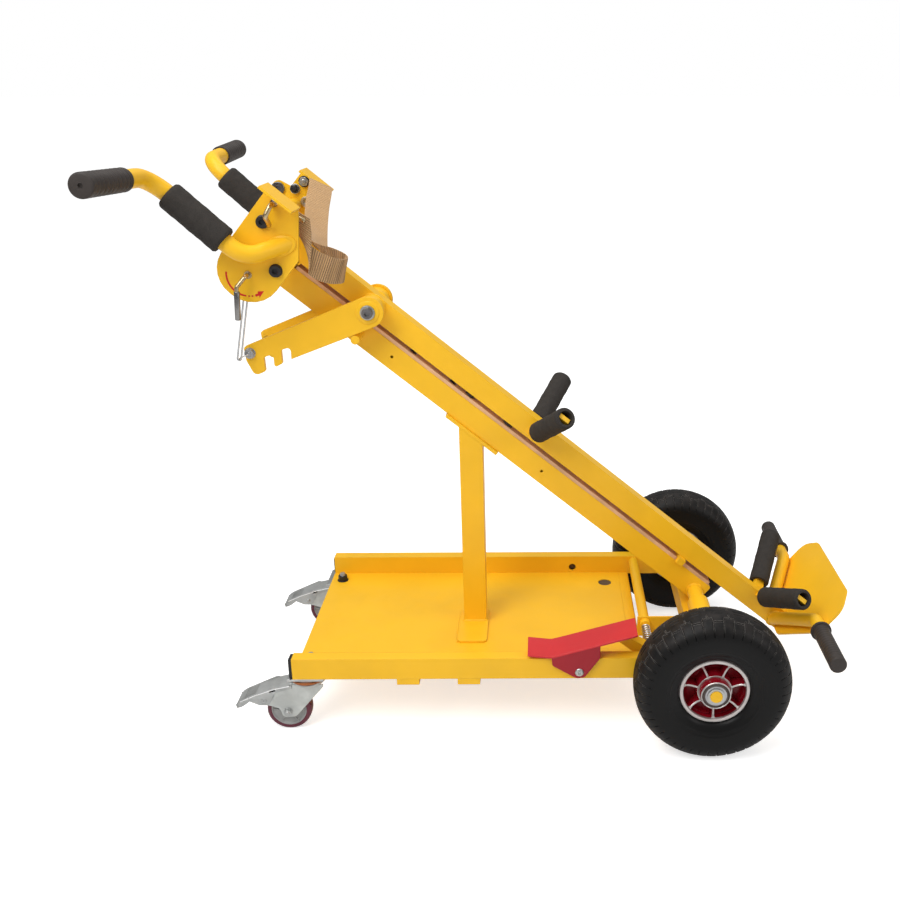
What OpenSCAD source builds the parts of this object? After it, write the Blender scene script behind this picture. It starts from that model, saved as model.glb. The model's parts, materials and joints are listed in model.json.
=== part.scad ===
/* [Main wheels] */
// Outer radius of the tyres
tyre_r = 130; // [110:1:135]
// Width of a tyre
tyre_w = 85; // [70:1:90]
// Distance between the centres of the two tyres
track = 500; // [498:1:540]
// Radius at which the tyre sits on the rim
rim_r = 56; // [54:1:62]
// Width of the rim between its two lips
rim_w = 54; // [50:1:64]
// Length of the hub
hub_w = 82; // [76:1:84]
// Radius of the hub around the bearings
hub_r = 25; // [22:1:28]
// Number of spokes in a rim
spoke_count = 7; // [5:1:9]
// Thickness of a spoke
spoke_t = 5; // [3:0.5:8]
// Radius of the axle
axle_r = 10; // [8:0.5:12]
// Outer radius of a wheel bearing
bearing_r = 17.5; // [15:0.5:20]
// Width of a wheel bearing
bearing_w = 11; // [8:1:14]

/* [Base frame] */
// Distance from the axle to the back end of the side rails
frame_back = 704; // [640:1:760]
// Distance from the axle to the front end of the side rails
frame_front = 27; // [24:1:40]
// Width of the frame over its side rails
frame_w = 406; // [380:1:406]
// Width of a side rail
side_rail_w = 22; // [18:1:26]
// Height of a side rail
side_rail_h = 38.4; // [34:0.2:40]
// Height of the frame's underside above the ground
frame_z = 108; // [106:1:112]
// Wall of the rectangular tubes
tube_wall = 2; // [1.5:0.1:3]
// Thickness of the plastic caps in the side rails
cap_t = 2; // [1:0.5:4]
// Thickness of the tray floor
tray_t = 3; // [2:0.5:4]
// Distance from the axle to the front edge of the tray
tray_front = 123; // [118:1:160]
// Radius of the drain hole in the tray
drain_r = 13; // [8:1:16]
// Width of a bearer under the tray
bearer_w = 38; // [30:1:46]
// Height of a bearer under the tray
bearer_h = 11; // [6:1:14]
// Distance from the axle to the middle of the back bearer
bearer_back_x = 507; // [480:1:530]
// Distance from the axle to the middle of the front bearer
bearer_front_x = 404; // [380:1:430]
// Width of the cross beam around the axle
beam_w = 41; // [36:1:46]

/* [Post] */
// Distance from the axle to the middle of the post
post_x = 403.5; // [380:0.5:430]
// Width of the post along the cart
post_w = 41; // [34:1:50]
// Width of the post across the cart
post_d = 40; // [30:1:50]
// Thickness of the foot plate
foot_t = 4; // [3:0.5:6]
// Length of the foot plate across the cart
foot_l = 115; // [90:1:130]
// Length of the ledge under the mast
ledge_l = 112; // [90:1:130]
// Thickness of the ledge
ledge_t = 6; // [4:0.5:8]

/* [Mast] */
// Slope of the mast where it rests on the post
mast_angle = 39.5; // [37:0.5:42]
// Distance from the axle forward to the mast pivot
pivot_x = 3; // [0:0.5:6]
// Height of the mast pivot above the ground
pivot_z = 172; // [170:1:180]
// Radius of the mast pivot tube
pivot_r = 14; // [12:0.5:15]
// Radius of a pivot bearing
pivot_bearing_r = 19; // [17:0.5:22]
// Width of both mast rails
rail_w = 30; // [26:1:36]
// Height of the lower mast rail
lower_rail_h = 40; // [34:1:44]
// Height of the upper mast rail
upper_rail_h = 37; // [32:1:42]
// Gap between the two mast rails
rail_gap = 13; // [13:0.5:16]
// Height of the pivot above the underside of the lower rail
pivot_rise = 15.6; // [15.4:0.1:17]
// Length of the lower rail behind the pivot
lower_rail_l = 950; // [940:1:990]
// Length of the lower rail in front of the pivot
lower_rail_nose = 19; // [17:0.5:22]
// Length of the upper rail behind the pivot
upper_rail_l = 1013; // [1000:1:1040]
// Thickness of the wear strip
strip_t = 6; // [4:0.5:7]
// Width of the wear strip
strip_w = 28; // [24:1:30]
// Distance from the pivot back to the spacer lug
lug_x = 63; // [50:1:90]
// Length of the spacer lug across the mast
lug_l = 52; // [46:1:60]

/* [Toe] */
// Thickness of the toe plate
toe_t = 4; // [3:0.5:5]
// Half width of the toe plate at its root
toe_root = 37; // [30:1:45]
// Half width of the toe plate at its widest
toe_half = 132; // [110:1:150]
// Half width of the toe plate at its tip
toe_tip = 97; // [90:1:125]
// Distance from the upper rail's underside to the tip of the toe plate
toe_l = 159; // [130:1:165]
// Radius of the two front tubes
front_tube_r = 12; // [9:0.5:13]
// Distance of the front tubes' ends from the middle
front_tube_reach = 266; // [250:1:280]
// Height of the front tubes' ends above the upper rail's underside
front_tube_rise = 87; // [75:1:95]
// Radius of a front grip
front_grip_r = 14.5; // [13.5:0.5:16]
// Length of a front grip
front_grip_l = 112; // [90:1:120]

/* [Padded arms] */
// Distance from the pivot forward to the lower pair of arms
low_arms_x = 103; // [95:1:110]
// Distance from the pivot back to the upper pair of arms
high_arms_x = 424; // [380:1:470]
// Spread of the lower arms from the middle
low_arm_reach = 132; // [110:1:140]
// Spread of the upper arms from the middle
high_arm_reach = 116; // [100:1:130]
// Angle of the lower arms above the cross direction
low_arm_slope = 32.5; // [26:0.5:40]
// Angle of the upper arms above the cross direction
high_arm_slope = 40; // [32:0.5:46]
// Outer radius of a foam sleeve on an arm
pad_r = 18.5; // [16:0.5:20]
// Width of the flat bar in an arm
bar_w = 20; // [14:1:22]
// Thickness of the flat bar in an arm
bar_t = 8; // [5:0.5:10]

/* [Head] */
// Half distance between the head plates' inner faces
plate_gap = 108; // [100:1:112]
// Thickness of the head plates
plate_t = 4; // [3:0.5:5]
// Length of the head plates along the mast
plate_l = 102; // [98:1:110]
// Width of the flange on a head plate
flange_w = 55; // [40:1:60]
// Length of the flange on a head plate
flange_l = 56; // [50:1:62]
// Height of the flange above the upper rail's underside
flange_rise = 93; // [88:1:100]
// Radius of the round end of a head plate
disc_r = 50; // [46:1:54]
// Radius of the head bolts
bolt_r = 6; // [5:0.5:6]
// Radius of the spacer tubes on the head bolts
spacer_r = 12; // [10:0.5:14]
// Radius of the handle tubes
handle_r = 14; // [12:0.5:16]
// Wall of the handle tubes
handle_wall = 2; // [1.5:0.1:3]
// Distance of the handle's straight part from the middle
handle_y = 147; // [142:1:155]
// Distance of the handle's end from the middle
handle_reach = 357; // [330:1:370]
// Bend radius of the handle tubes
handle_bend = 42; // [34:1:50]
// Radius of a foam sleeve on a handle
sleeve_r = 22.5; // [20:0.5:24]
// Length of a foam sleeve on a handle
sleeve_l = 104; // [80:1:110]
// Radius of a handle grip
grip_r = 17.5; // [16.5:0.5:19]
// Length of a handle grip
grip_l = 128; // [110:1:134]

/* [Notched arms] */
// Distance from the pivot back to the arms' own pivot
hook_arm_x = 779; // [760:1:800]
// Height of the arms' pivot above the upper rail's underside
hook_arm_rise = 15; // [14:0.5:18]
// Angle from the rail down to the resting arms
hook_arm_drop = 58.4; // [56:0.2:60]
// Distance from the middle to a notched arm's inner face
hook_arm_y = 50; // [46:1:54]
// Thickness of a notched arm
hook_arm_t = 8; // [5:0.5:8]
// Length of the notched arms between their bolts
hook_arm_l = 210; // [200:1:220]
// Radius of the arm's round end
hook_arm_r = 26; // [24:0.5:28]
// Width of the notches
notch_w = 17; // [14:0.5:19]
// Depth of the notches
notch_h = 18; // [14:0.5:20]
// Radius of the stubs that the arms rest on
stub_r = 7.5; // [6:0.5:9]

/* [Lock lever] */
// Radius of the lever wire
lever_r = 3.5; // [3:0.25:4]
// Radius of the sleeve on the lever
lever_sleeve_r = 5.5; // [5:0.25:7]
// Length of the sleeve on the lever
lever_sleeve_l = 46; // [36:1:52]
// Radius of the inner crank
crank_l = 14; // [12:0.5:16]
// Radius of the link wire
link_r = 1.5; // [1.25:0.25:2]
// Distance between the two wires of the link
link_gap = 6; // [5:0.5:8]
// Length of the link between its round ends
link_l = 143; // [138:1:144]

/* [Strap] */
// Width of the webbing
strap_w = 46; // [40:1:50]
// Thickness of the webbing
strap_t = 2.2; // [1.6:0.2:3]
// Radius of the hook wire
hook_r = 3.5; // [3:0.25:4]

/* [Pedal] */
// Distance from the axle to the pedal pivot
pedal_x = 217; // [210:1:225]
// Height of the pedal pivot above the frame's underside
pedal_rise = 15; // [13:0.5:18]
// Thickness of the pedal plate
pedal_t = 4; // [3:0.5:5]
// Width of the pedal plate
pedal_w = 59; // [50:1:64]
// Radius of the pedal pin
pedal_pin_r = 5; // [4:0.5:6]
// Distance from the axle to the latch shaft
latch_x = 93; // [88:1:96]
// Height of the latch shaft above the frame's underside
latch_rise = 27; // [25:0.5:28]
// Radius of the latch tube
latch_r = 9.5; // [8:0.5:11]
// Radius of the latch rod
latch_rod_r = 5; // [4:0.5:6]
// Mean radius of the latch spring
spring_r = 7.3; // [7.3:0.1:8]
// Wire radius of the latch spring
spring_wire_r = 1.25; // [1:0.05:1.3]
// Number of turns in the latch spring
spring_turns = 9; // [6:1:10]

/* [Casters] */
// Distance from the axle to the swivel axes
caster_x = 681; // [668:1:700]
// Distance from the middle to the swivel axes
caster_y = 176; // [168:1:180]
// Distance from a swivel axis back to its wheel
caster_trail = 36; // [30:1:40]
// Radius of a caster wheel
caster_r = 38.5; // [36:0.5:39.5]
// Width of a caster wheel
caster_w = 25; // [20:1:26]
// Radius of the caster wheel's core
caster_core_r = 30; // [26:0.5:32]
// Radius of the swivel race
race_r = 26; // [24:0.5:28]
// Thickness of the caster's sheet metal
caster_t = 2.5; // [2:0.25:3]
// Width of the brake lever
brake_w = 40.5; // [40.5:0.5:44]

/* [Hidden] */
$fn = 64;

fit = 0.05;
play = 0.3;

yellow = "#f2b51c";
black = "#26262a";
zinc = "#b9bcc0";
steel = "#8f9196";
red = "#c52a33";

track_y = track / 2;
rail_out = frame_w / 2;
rail_in = rail_out - side_rail_w;
frame_top = frame_z + side_rail_h;
tray_top = frame_z + tray_t;
tray_back = frame_back - cap_t + 1;
axle_z = tyre_r;
hub_in = track_y - hub_w / 2;
hub_out = track_y + hub_w / 2;
axle_end = hub_out + 4;

lower_z0 = -pivot_rise;
lower_z1 = lower_z0 + lower_rail_h;
upper_z0 = lower_z1 + rail_gap;
upper_z1 = upper_z0 + upper_rail_h;
strip_z1 = lower_z1 + strip_t;
toe_x = pivot_z - toe_t;
front_tube_x = toe_x - front_tube_r - 3;
gap_mid = lower_z1 + rail_gap / 2;

disc_x = -(upper_rail_l - plate_l + disc_r);
disc_z = -pivot_rise + 21;
flange_z = upper_z0 + flange_rise;
low_bolt_x = -(lower_rail_l - 20);
high_bolt_x = -(upper_rail_l - 24);
high_bolt_z = upper_z1 + bolt_r + 0.2;
lever_x = disc_x + 1;
lever_z = disc_z - 7.4;

hook_arm_z = upper_z0 + hook_arm_rise;
arm_tilt = -hook_arm_drop;
hook_edge_z = -28;
hook_pin_x = -hook_arm_l - 13;
link_lean = 30;

pedal_z = frame_z + pedal_rise;
latch_z = frame_z + latch_rise;
bracket_y0 = -66;
bracket_y1 = -62;

grip_x = -(upper_rail_l + 152);
grip_z = upper_z0 + 0.5;
handle_path = [
    [-(upper_rail_l - 68), plate_gap + plate_t / 2, upper_z0 + 32],
    [-(upper_rail_l - 38), handle_y, upper_z0 - 11],
    [-(upper_rail_l + 142), handle_y, upper_z0 - 1],
    [grip_x, handle_reach, grip_z]
];
grip_dir = unit(handle_path[3] - handle_path[2]);
grip_dir_x = grip_dir.x * cos(mast_angle) + grip_dir.z * sin(mast_angle);
grip_end = handle_path[3] + grip_dir * 3;
grip_end_x = pivot_x + grip_end.x * cos(mast_angle) + grip_end.z * sin(mast_angle);
left_edge = grip_end_x - grip_r * sqrt(1 - grip_dir_x * grip_dir_x);
right_edge = pivot_x + pivot_z * cos(mast_angle) + (upper_z0 + toe_l) * sin(mast_angle);
centre_x = (left_edge + right_edge) / 2;

// Unit vector along v
function unit(v) = v / norm(v);

// Part of v that is square to the unit vector w, made one long
function square_to(v, w) = unit(v - (v * w) * w);

// Points of the arc that rounds corner b between neighbours a and c
function corner_arc(a, b, c, r, steps) =
    let (
        u = unit(a - b),
        v = unit(c - b),
        half = acos(u * v) / 2,
        centre = b + unit(u + v) * r / sin(half),
        first = b + u * r / tan(half) - centre,
        last = b + v * r / tan(half) - centre,
        start = atan2(first.y, first.x),
        turn = atan2(first.x * last.y - first.y * last.x, first * last)
    )
    [for (i = [0:steps]) centre + r * [cos(start + turn * i / steps), sin(start + turn * i / steps)]];

// Outline through points, each corner rounded by its own radius
function rounded(points, radii) =
    let (n = len(points))
    [for (i = [0:n - 1]) each
        (radii[i] == 0 ? [points[i]]
            : corner_arc(points[(i + n - 1) % n], points[i], points[(i + 1) % n], radii[i], 6))];

// Everything stands with the middle of its length at zero
module on_cart() {
    translate([-centre_x, 0, 0]) children();
}

// The mast's own frame: +X down the rails from the pivot, +Z up off them
module on_mast() {
    on_cart() translate([pivot_x, 0, pivot_z]) rotate([0, mast_angle, 0]) children();
}

// The notched arms' frame: -X from their pivot to their tip
module on_hook_arms() {
    on_mast() translate([-hook_arm_x, 0, hook_arm_z]) rotate([0, arm_tilt, 0]) children();
}

// A copy on each side of the middle
module both_sides() {
    children();
    mirror([0, 1, 0]) children();
}

// Box from one corner to the opposite one
module block(low, high) {
    translate(low) cube(high - low);
}

// Round bar along Y between two places
module bar_y(x, z, y0, y1, r) {
    translate([x, y1, z]) rotate([90, 0, 0]) cylinder(h = y1 - y0, r = r);
}

// Hexagon along Y between two places
module hex_y(x, z, y0, y1, r) {
    translate([x, y1, z]) rotate([90, 0, 0]) cylinder(h = y1 - y0, r = r, $fn = 6);
}

// Plate with its outline in X and Z, between two places along Y
module plate_y(y0, y1, outline) {
    translate([0, y1, 0]) rotate([90, 0, 0]) linear_extrude(y1 - y0) polygon(outline);
}

// Plate with its outline in Y and Z, between two places along X
module plate_x(x0, x1, outline) {
    translate([x0, 0, 0]) rotate([90, 0, 90]) linear_extrude(x1 - x0) polygon(outline);
}

// Round bar from point a to point b
module rod(a, b, r) {
    w = unit(b - a);
    u = square_to(abs(w.z) < 0.9 ? [0, 0, 1] : [1, 0, 0], w);
    v = cross(w, u);
    multmatrix([
        [u.x, v.x, w.x, a.x],
        [u.y, v.y, w.y, a.y],
        [u.z, v.z, w.z, a.z],
        [0, 0, 0, 1]
    ])
        cylinder(h = norm(b - a), r = r);
}

// How far before corner b its bend starts
function set_back(a, b, c, bend) = bend * tan(acos(unit(b - a) * unit(c - b)) / 2);

// Middle line of the bend at corner b, each place with its direction
function bend_at(a, b, c, bend, steps) =
    let (
        u = unit(b - a),
        v = unit(c - b),
        w = square_to(v, u),
        turn = acos(u * v),
        centre = b - u * set_back(a, b, c, bend) + w * bend
    )
    [
        for (k = [0:steps])
            let (t = turn * k / steps)
            [centre - w * bend * cos(t) + u * bend * sin(t), u * cos(t) + w * sin(t)]
    ];

// Middle line of a path with its corners bent
function bent(path, bend, steps) =
    let (last = len(path) - 1)
    concat(
        [[path[0], unit(path[1] - path[0])]],
        [for (i = [1:last - 1]) each bend_at(path[i - 1], path[i], path[i + 1], bend, steps)],
        [[path[last], unit(path[last] - path[last - 1])]]
    );

// Ring of points round one place of a line
function ring(place, across, r, sides) =
    let (up = cross(place[1], across))
    [for (k = [0:sides - 1]) place[0] + r * (across * cos(360 * k / sides) + up * sin(360 * k / sides))];

// Rings along a line, carried on without a twist
function rings_along(line, across, r, sides) =
    [
        for (
            i = 0, side = square_to(across, line[0][1]);
            i < len(line);
            i = i + 1, side = i < len(line) ? square_to(side, line[i][1]) : side
        )
            ring(line[i], side, r, sides)
    ];

// Path with both ends drawn out by 1 mm
function drawn_out(path) =
    let (last = len(path) - 1)
    [
        for (i = [0:last])
            i == 0 ? path[0] - unit(path[1] - path[0])
                : (i == last ? path[last] + unit(path[last] - path[last - 1]) : path[i])
    ];

// Closed tube of triangles through rings of points
module skin(rings) {
    m = len(rings[0]);
    last = len(rings) - 1;
    polyhedron(
        points = [for (r = rings) each r],
        faces = concat(
            [for (i = [1:m - 2]) [0, i, i + 1]],
            [for (i = [1:m - 2]) [last * m, last * m + i + 1, last * m + i]],
            [for (k = [0:last - 1]) for (i = [0:m - 1])
                let (j = (i + 1) % m) each [
                    [k * m + i, (k + 1) * m + i, (k + 1) * m + j],
                    [k * m + i, (k + 1) * m + j, k * m + j]
                ]]
        )
    );
}

// Round bar along a path with its corners bent
module bent_rod(path, bend, r, sides, steps) {
    skin(rings_along(bent(path, bend, steps), [0.1, 0.2, 1], r, sides));
}

// Tube along a path with its corners bent
module bent_tube(path, bend, r, wall, sides, steps) {
    difference() {
        bent_rod(path, bend, r, sides, steps);
        bent_rod(drawn_out(path), bend, r - wall, sides, steps);
    }
}

// Base frame

module side_rail(pin_hole_r) {
    difference() {
        block([-frame_back + cap_t, -rail_out, frame_z], [frame_front - cap_t, -rail_in, frame_top]);
        block(
            [-frame_back, -rail_out + tube_wall, frame_z + tube_wall],
            [frame_front, -rail_in - tube_wall, frame_top - tube_wall]
        );
        bar_y(0, axle_z, -rail_out - 1, -rail_in + 1, axle_r + fit);
        bar_y(-pedal_x, pedal_z, -rail_out - 1, -rail_in + 1, pin_hole_r);
    }
}

module side_rails() {
    color(yellow) on_cart() {
        side_rail(pedal_pin_r + fit);
        mirror([0, 1, 0]) side_rail(pedal_pin_r + 2);
    }
}

module rail_end_cap(x0, x1) {
    block([x0, -rail_out, frame_z], [x1, -rail_in, frame_top]);
}

module rail_end_caps() {
    color(black) on_cart() both_sides() {
        rail_end_cap(-frame_back, -frame_back + cap_t);
        rail_end_cap(frame_front - cap_t, frame_front);
    }
}

drain_x = -(tray_front + 30);
drain_y = 137;
caster_bolt_y = rail_in - 30;
caster_bolt_r = 5;

module tray_floor() {
    color(yellow) on_cart() difference() {
        block([-tray_back, -rail_in, frame_z], [-tray_front, rail_in, tray_top]);
        translate([drain_x, drain_y, frame_z - 1]) cylinder(h = tray_t + 2, r = drain_r);
        both_sides()
            translate([-caster_x, -caster_bolt_y, frame_z - 1])
                cylinder(h = tray_t + 2, r = caster_bolt_r + fit);
    }
}

module tray_bearer(x) {
    block([x - bearer_w / 2, -rail_out, frame_z - bearer_h], [x + bearer_w / 2, rail_out, frame_z]);
}

module tray_bearers() {
    color(yellow) on_cart() {
        tray_bearer(-bearer_back_x);
        tray_bearer(-bearer_front_x);
    }
}

module axle_beam() {
    color(yellow) on_cart() difference() {
        block([-beam_w / 2, -rail_in, frame_z], [beam_w / 2, rail_in, frame_top]);
        block(
            [-beam_w / 2 + tube_wall, -rail_in - 1, frame_z + tube_wall],
            [beam_w / 2 - tube_wall, rail_in + 1, frame_top - tube_wall]
        );
    }
}

module latch_bracket() {
    color(yellow) on_cart() difference() {
        block([-latch_x - latch_r - 4, bracket_y0, frame_z], [-beam_w / 2, bracket_y1, frame_top]);
        bar_y(-latch_x, latch_z, bracket_y0 - 1, bracket_y1 + 1, latch_r + fit);
    }
}

pivot_bearing_y0 = 62;
pivot_bearing_y1 = 118;

module pivot_bearings() {
    saddle = 13;
    color(yellow) on_cart() both_sides() difference() {
        union() {
            bar_y(pivot_x, pivot_z, -pivot_bearing_y1, -pivot_bearing_y0, pivot_bearing_r);
            block(
                [pivot_x - saddle, -pivot_bearing_y1, frame_top],
                [pivot_x + saddle, -pivot_bearing_y0, pivot_z]
            );
        }
        bar_y(pivot_x, pivot_z, -pivot_bearing_y1 - 1, -pivot_bearing_y0 + 1, pivot_r + fit);
    }
}

// Post under the mast

// Height above the ground of the line at height z over the mast's frame, at place x
function under_mast(x, z) = pivot_z + (z - (x - pivot_x) * sin(mast_angle)) / cos(mast_angle);

ledge_top = lower_z0 - play;
ledge_z = ledge_top - ledge_t;

module post() {
    x0 = -post_x - post_w / 2;
    x1 = -post_x + post_w / 2;
    z0 = tray_top + foot_t;
    color(yellow) on_cart() difference() {
        plate_y(-post_d / 2, post_d / 2,
            [[x0, z0], [x1, z0], [x1, under_mast(x1, ledge_z)], [x0, under_mast(x0, ledge_z)]]);
        block([x0 + tube_wall, -post_d / 2 + tube_wall, z0 - 1],
            [x1 - tube_wall, post_d / 2 - tube_wall, under_mast(x1, ledge_z) - 6]);
    }
}

module post_plates() {
    corner = 8;
    foot_x0 = -post_x - post_w / 2 - 8;
    foot_x1 = -post_x + post_w / 2 + 4;
    foot_y1 = post_d / 2 + 2;
    ledge_x = -(post_x + pivot_x + ledge_z * sin(mast_angle)) / cos(mast_angle);
    color(yellow) {
        on_cart() translate([0, 0, tray_top]) linear_extrude(foot_t)
            polygon(rounded(
                [[foot_x0, foot_y1 - foot_l], [foot_x1, foot_y1 - foot_l], [foot_x1, foot_y1],
                    [foot_x0, foot_y1]],
                [corner, corner, 3, 3]));
        on_mast() translate([ledge_x, 0, 0])
            block([-ledge_l / 2, -post_d / 2, ledge_z], [ledge_l / 2, post_d / 2, ledge_top]);
    }
}

// Axle and main wheels

module axle() {
    color(yellow) on_cart() bar_y(0, axle_z, -axle_end, axle_end, axle_r);
}

module ring_y(z, y0, y1, r_out, r_in) {
    difference() {
        bar_y(0, z, y0, y1, r_out);
        bar_y(0, z, y0 - 1, y1 + 1, r_in);
    }
}

module axle_rings() {
    color(zinc) on_cart() both_sides() {
        ring_y(axle_z, -hub_in + play, -rail_out, axle_r + 4, axle_r + fit);
        ring_y(axle_z, -hub_out - 2.3, -hub_out - play, axle_r + 4, axle_r + fit);
    }
}

// Section of the tyre: crown, round shoulders and bulging sides down to the rim
tyre_belly_r = (tyre_r + rim_r) / 2;
rim_lip = 2;
tyre_section = [
    for (i = [-12:12])
        let (
            a = i * 10,
            c = cos(a),
            s = sin(a)
        )
        [
            tyre_belly_r + (tyre_r - tyre_belly_r) * sign(c) * pow(abs(c), 0.8),
            tyre_w / 2 * sign(s) * pow(abs(s), 0.8)
        ]
];

module wheel_at() {
    on_cart() translate([0, -track_y, axle_z]) rotate([90, 0, 0]) children();
}

module tyre() {
    color(black) wheel_at()
        rotate_extrude()
            polygon(concat(
                [[rim_r + play, -rim_w / 2], [rim_r + rim_lip + play, -rim_w / 2]],
                tyre_section,
                [[rim_r + rim_lip + play, rim_w / 2], [rim_r + play, rim_w / 2]]));
}

module rim() {
    lip = 2.5;
    web_t = 4;
    color(red) wheel_at() {
        difference() {
            union() {
                cylinder(h = hub_w, r = hub_r, center = true);
                difference() {
                    cylinder(h = rim_w, r = rim_r, center = true);
                    cylinder(h = rim_w + 1, r = rim_r - 5, center = true);
                }
                for (side = [-1, 1])
                    translate([0, 0, side * (rim_w / 2 + lip / 2)])
                        difference() {
                            cylinder(h = lip, r = rim_r + rim_lip, center = true);
                            cylinder(h = lip + 1, r = rim_r - 5, center = true);
                        }
                cylinder(h = web_t, r = rim_r - 4, center = true);
                for (i = [0:spoke_count - 1])
                    rotate([0, 0, 270 + i * 360 / spoke_count])
                        translate([hub_r - 2, -spoke_t / 2, -rim_w / 2 + 2])
                            cube([rim_r - hub_r - 2, spoke_t, rim_w - 4]);
            }
            cylinder(h = hub_w + 1, r = bearing_r + fit, center = true);
        }
    }
}

module wheel_bearings() {
    color(steel) wheel_at() for (side = [-1, 1])
        translate([0, 0, side * (hub_w - bearing_w) / 2]) difference() {
            cylinder(h = bearing_w, r = bearing_r, center = true);
            cylinder(h = bearing_w + 1, r = axle_r + fit, center = true);
        }
}

module near_tyre() { tyre(); }
module far_tyre() { mirror([0, 1, 0]) tyre(); }
module near_rim() { rim(); }
module far_rim() { mirror([0, 1, 0]) rim(); }
module near_wheel_bearings() { wheel_bearings(); }
module far_wheel_bearings() { mirror([0, 1, 0]) wheel_bearings(); }

// Casters

plate_z = frame_z - 4;
crown_z = plate_z - 6.3;
crown_t = 6;
kingpin_r = 6;
fork_y = caster_w / 2 + 2.5;
caster_pin_r = 4;
brake_pin_r = 3;
brake_pin_x = -75;
brake_pin_z = 62;

module caster_at() {
    on_cart() translate([-caster_x, -caster_y, 0]) children();
}

module caster_plates() {
    half = 31;
    color(zinc) both_sides() {
        difference() {
            union() {
                on_cart() block(
                    [-caster_x - half, -rail_out, plate_z],
                    [-caster_x + half, -caster_bolt_y + 12, frame_z]
                );
                caster_at() translate([0, 0, crown_z + play]) cylinder(h = plate_z - crown_z - play, r = race_r);
            }
            on_cart() translate([-caster_x, -caster_bolt_y, plate_z - 7])
                cylinder(h = 20, r = caster_bolt_r + fit);
        }
        caster_at() {
            translate([0, 0, crown_z - crown_t - 1]) cylinder(h = crown_t + 1 + play, r = kingpin_r);
            translate([0, 0, crown_z - crown_t - 4]) cylinder(h = 3, r = kingpin_r + 3);
        }
    }
}

module caster_bolts() {
    color(black) on_cart() both_sides() translate([-caster_x, -caster_bolt_y, 0]) {
        translate([0, 0, plate_z]) cylinder(h = 24, r = caster_bolt_r);
        translate([0, 0, tray_top]) cylinder(h = 1.5, r = 11);
        translate([0, 0, tray_top + 1.5]) cylinder(h = 10, r = 9, $fn = 6);
    }
}

module caster_dust_rings() {
    color("#d98043") both_sides() caster_at() translate([0, 0, crown_z + play]) difference() {
        cylinder(h = 2.6, r = race_r + 4);
        translate([0, 0, -1]) cylinder(h = 5, r = race_r + fit);
    }
}

fork_outline = rounded(
    [
        [race_r, crown_z - crown_t],
        [-caster_trail + 13, caster_r - 10],
        [-caster_trail - 9, caster_r - 12],
        [-caster_trail - 14, caster_r + 8],
        [brake_pin_x + 8, brake_pin_z - 13],
        [brake_pin_x - 12, brake_pin_z - 6],
        [brake_pin_x - 8, brake_pin_z + 9],
        [-race_r - 6, crown_z - crown_t]
    ],
    [0, 8, 7, 5, 4, 6, 6, 0]
);

module caster_fork() {
    color(zinc) caster_at() difference() {
        union() {
            translate([0, 0, crown_z - crown_t]) cylinder(h = crown_t, r = race_r + 1);
            plate_y(-fork_y - caster_t, -fork_y, fork_outline);
            plate_y(fork_y, fork_y + caster_t, fork_outline);
            block([-race_r - 6, -fork_y - caster_t, crown_z - crown_t],
                [0, fork_y + caster_t, crown_z - crown_t + 2]);
        }
        translate([0, 0, crown_z - crown_t - 2]) cylinder(h = crown_t + 4, r = kingpin_r + fit);
        bar_y(-caster_trail, caster_r, -30, 30, caster_pin_r + fit);
        bar_y(brake_pin_x, brake_pin_z, -30, 30, brake_pin_r + fit);
    }
}

brake_flange_y = fork_y + caster_t + play;

module caster_pins() {
    head = fork_y + caster_t;
    color(zinc) caster_at() {
        bar_y(-caster_trail, caster_r, -head, head, caster_pin_r);
        hex_y(-caster_trail, caster_r, -head - 4, -head, 7.5);
        hex_y(-caster_trail, caster_r, head, head + 4, 7.5);
        bar_y(brake_pin_x, brake_pin_z, -brake_w / 2 - 1.5, brake_w / 2 + 1.5, brake_pin_r);
    }
}

module caster_core() {
    color("#9a9a98") caster_at() difference() {
        union() {
            bar_y(-caster_trail, caster_r, -caster_w / 2 + 1, caster_w / 2 - 1, caster_core_r);
            bar_y(-caster_trail, caster_r, -fork_y + play, fork_y - play, 11);
        }
        bar_y(-caster_trail, caster_r, -30, 30, caster_pin_r + fit);
    }
}

module caster_tread() {
    half = caster_w / 2;
    edge = 5;
    color("#6b1a2a") caster_at() translate([-caster_trail, 0, caster_r]) rotate([90, 0, 0])
        rotate_extrude()
            polygon(rounded(
                [[caster_core_r + fit, -half + 1], [caster_r, -half + 1], [caster_r, half - 1],
                    [caster_core_r + fit, half - 1]],
                [0, edge, edge, 0]));
}

brake_reach = 120;
brake_t = 2;
brake_top = [[-race_r - 18, 92], [-64, 84], [-98, 70], [-brake_reach, 52]];

module brake_lever() {
    half = brake_w / 2;
    under = [for (p = brake_top) [p.x - 0.4, p.y - brake_t]];
    cheek = rounded(
        [brake_top[1] + [6, 0], brake_top[2], [-104, 62], [brake_pin_x - 8, brake_pin_z - 8],
            [brake_pin_x + 9, brake_pin_z - 8], [-56, 80]],
        [0, 0, 4, 7, 7, 4]);
    reversed = [for (i = [len(under) - 1:-1:0]) under[i]];
    color(zinc) caster_at() difference() {
        union() {
            plate_y(-half, half, concat(brake_top, reversed));
            plate_y(-half, -brake_flange_y, cheek);
            plate_y(brake_flange_y, half, cheek);
        }
        bar_y(brake_pin_x, brake_pin_z, -30, 30, brake_pin_r + fit);
    }
}

module near_caster_fork() { caster_fork(); }
module near_caster_pins() { caster_pins(); }
module near_caster_core() { caster_core(); }
module near_caster_tread() { caster_tread(); }
module near_brake_lever() { brake_lever(); }
module far_caster_fork() { mirror([0, 1, 0]) caster_fork(); }
module far_caster_pins() { mirror([0, 1, 0]) caster_pins(); }
module far_caster_core() { mirror([0, 1, 0]) caster_core(); }
module far_caster_tread() { mirror([0, 1, 0]) caster_tread(); }
module far_brake_lever() { mirror([0, 1, 0]) brake_lever(); }

// Mast rails

rail_hole_r = 2.5;
rail_hole_z = lower_z1 - 20;

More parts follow.
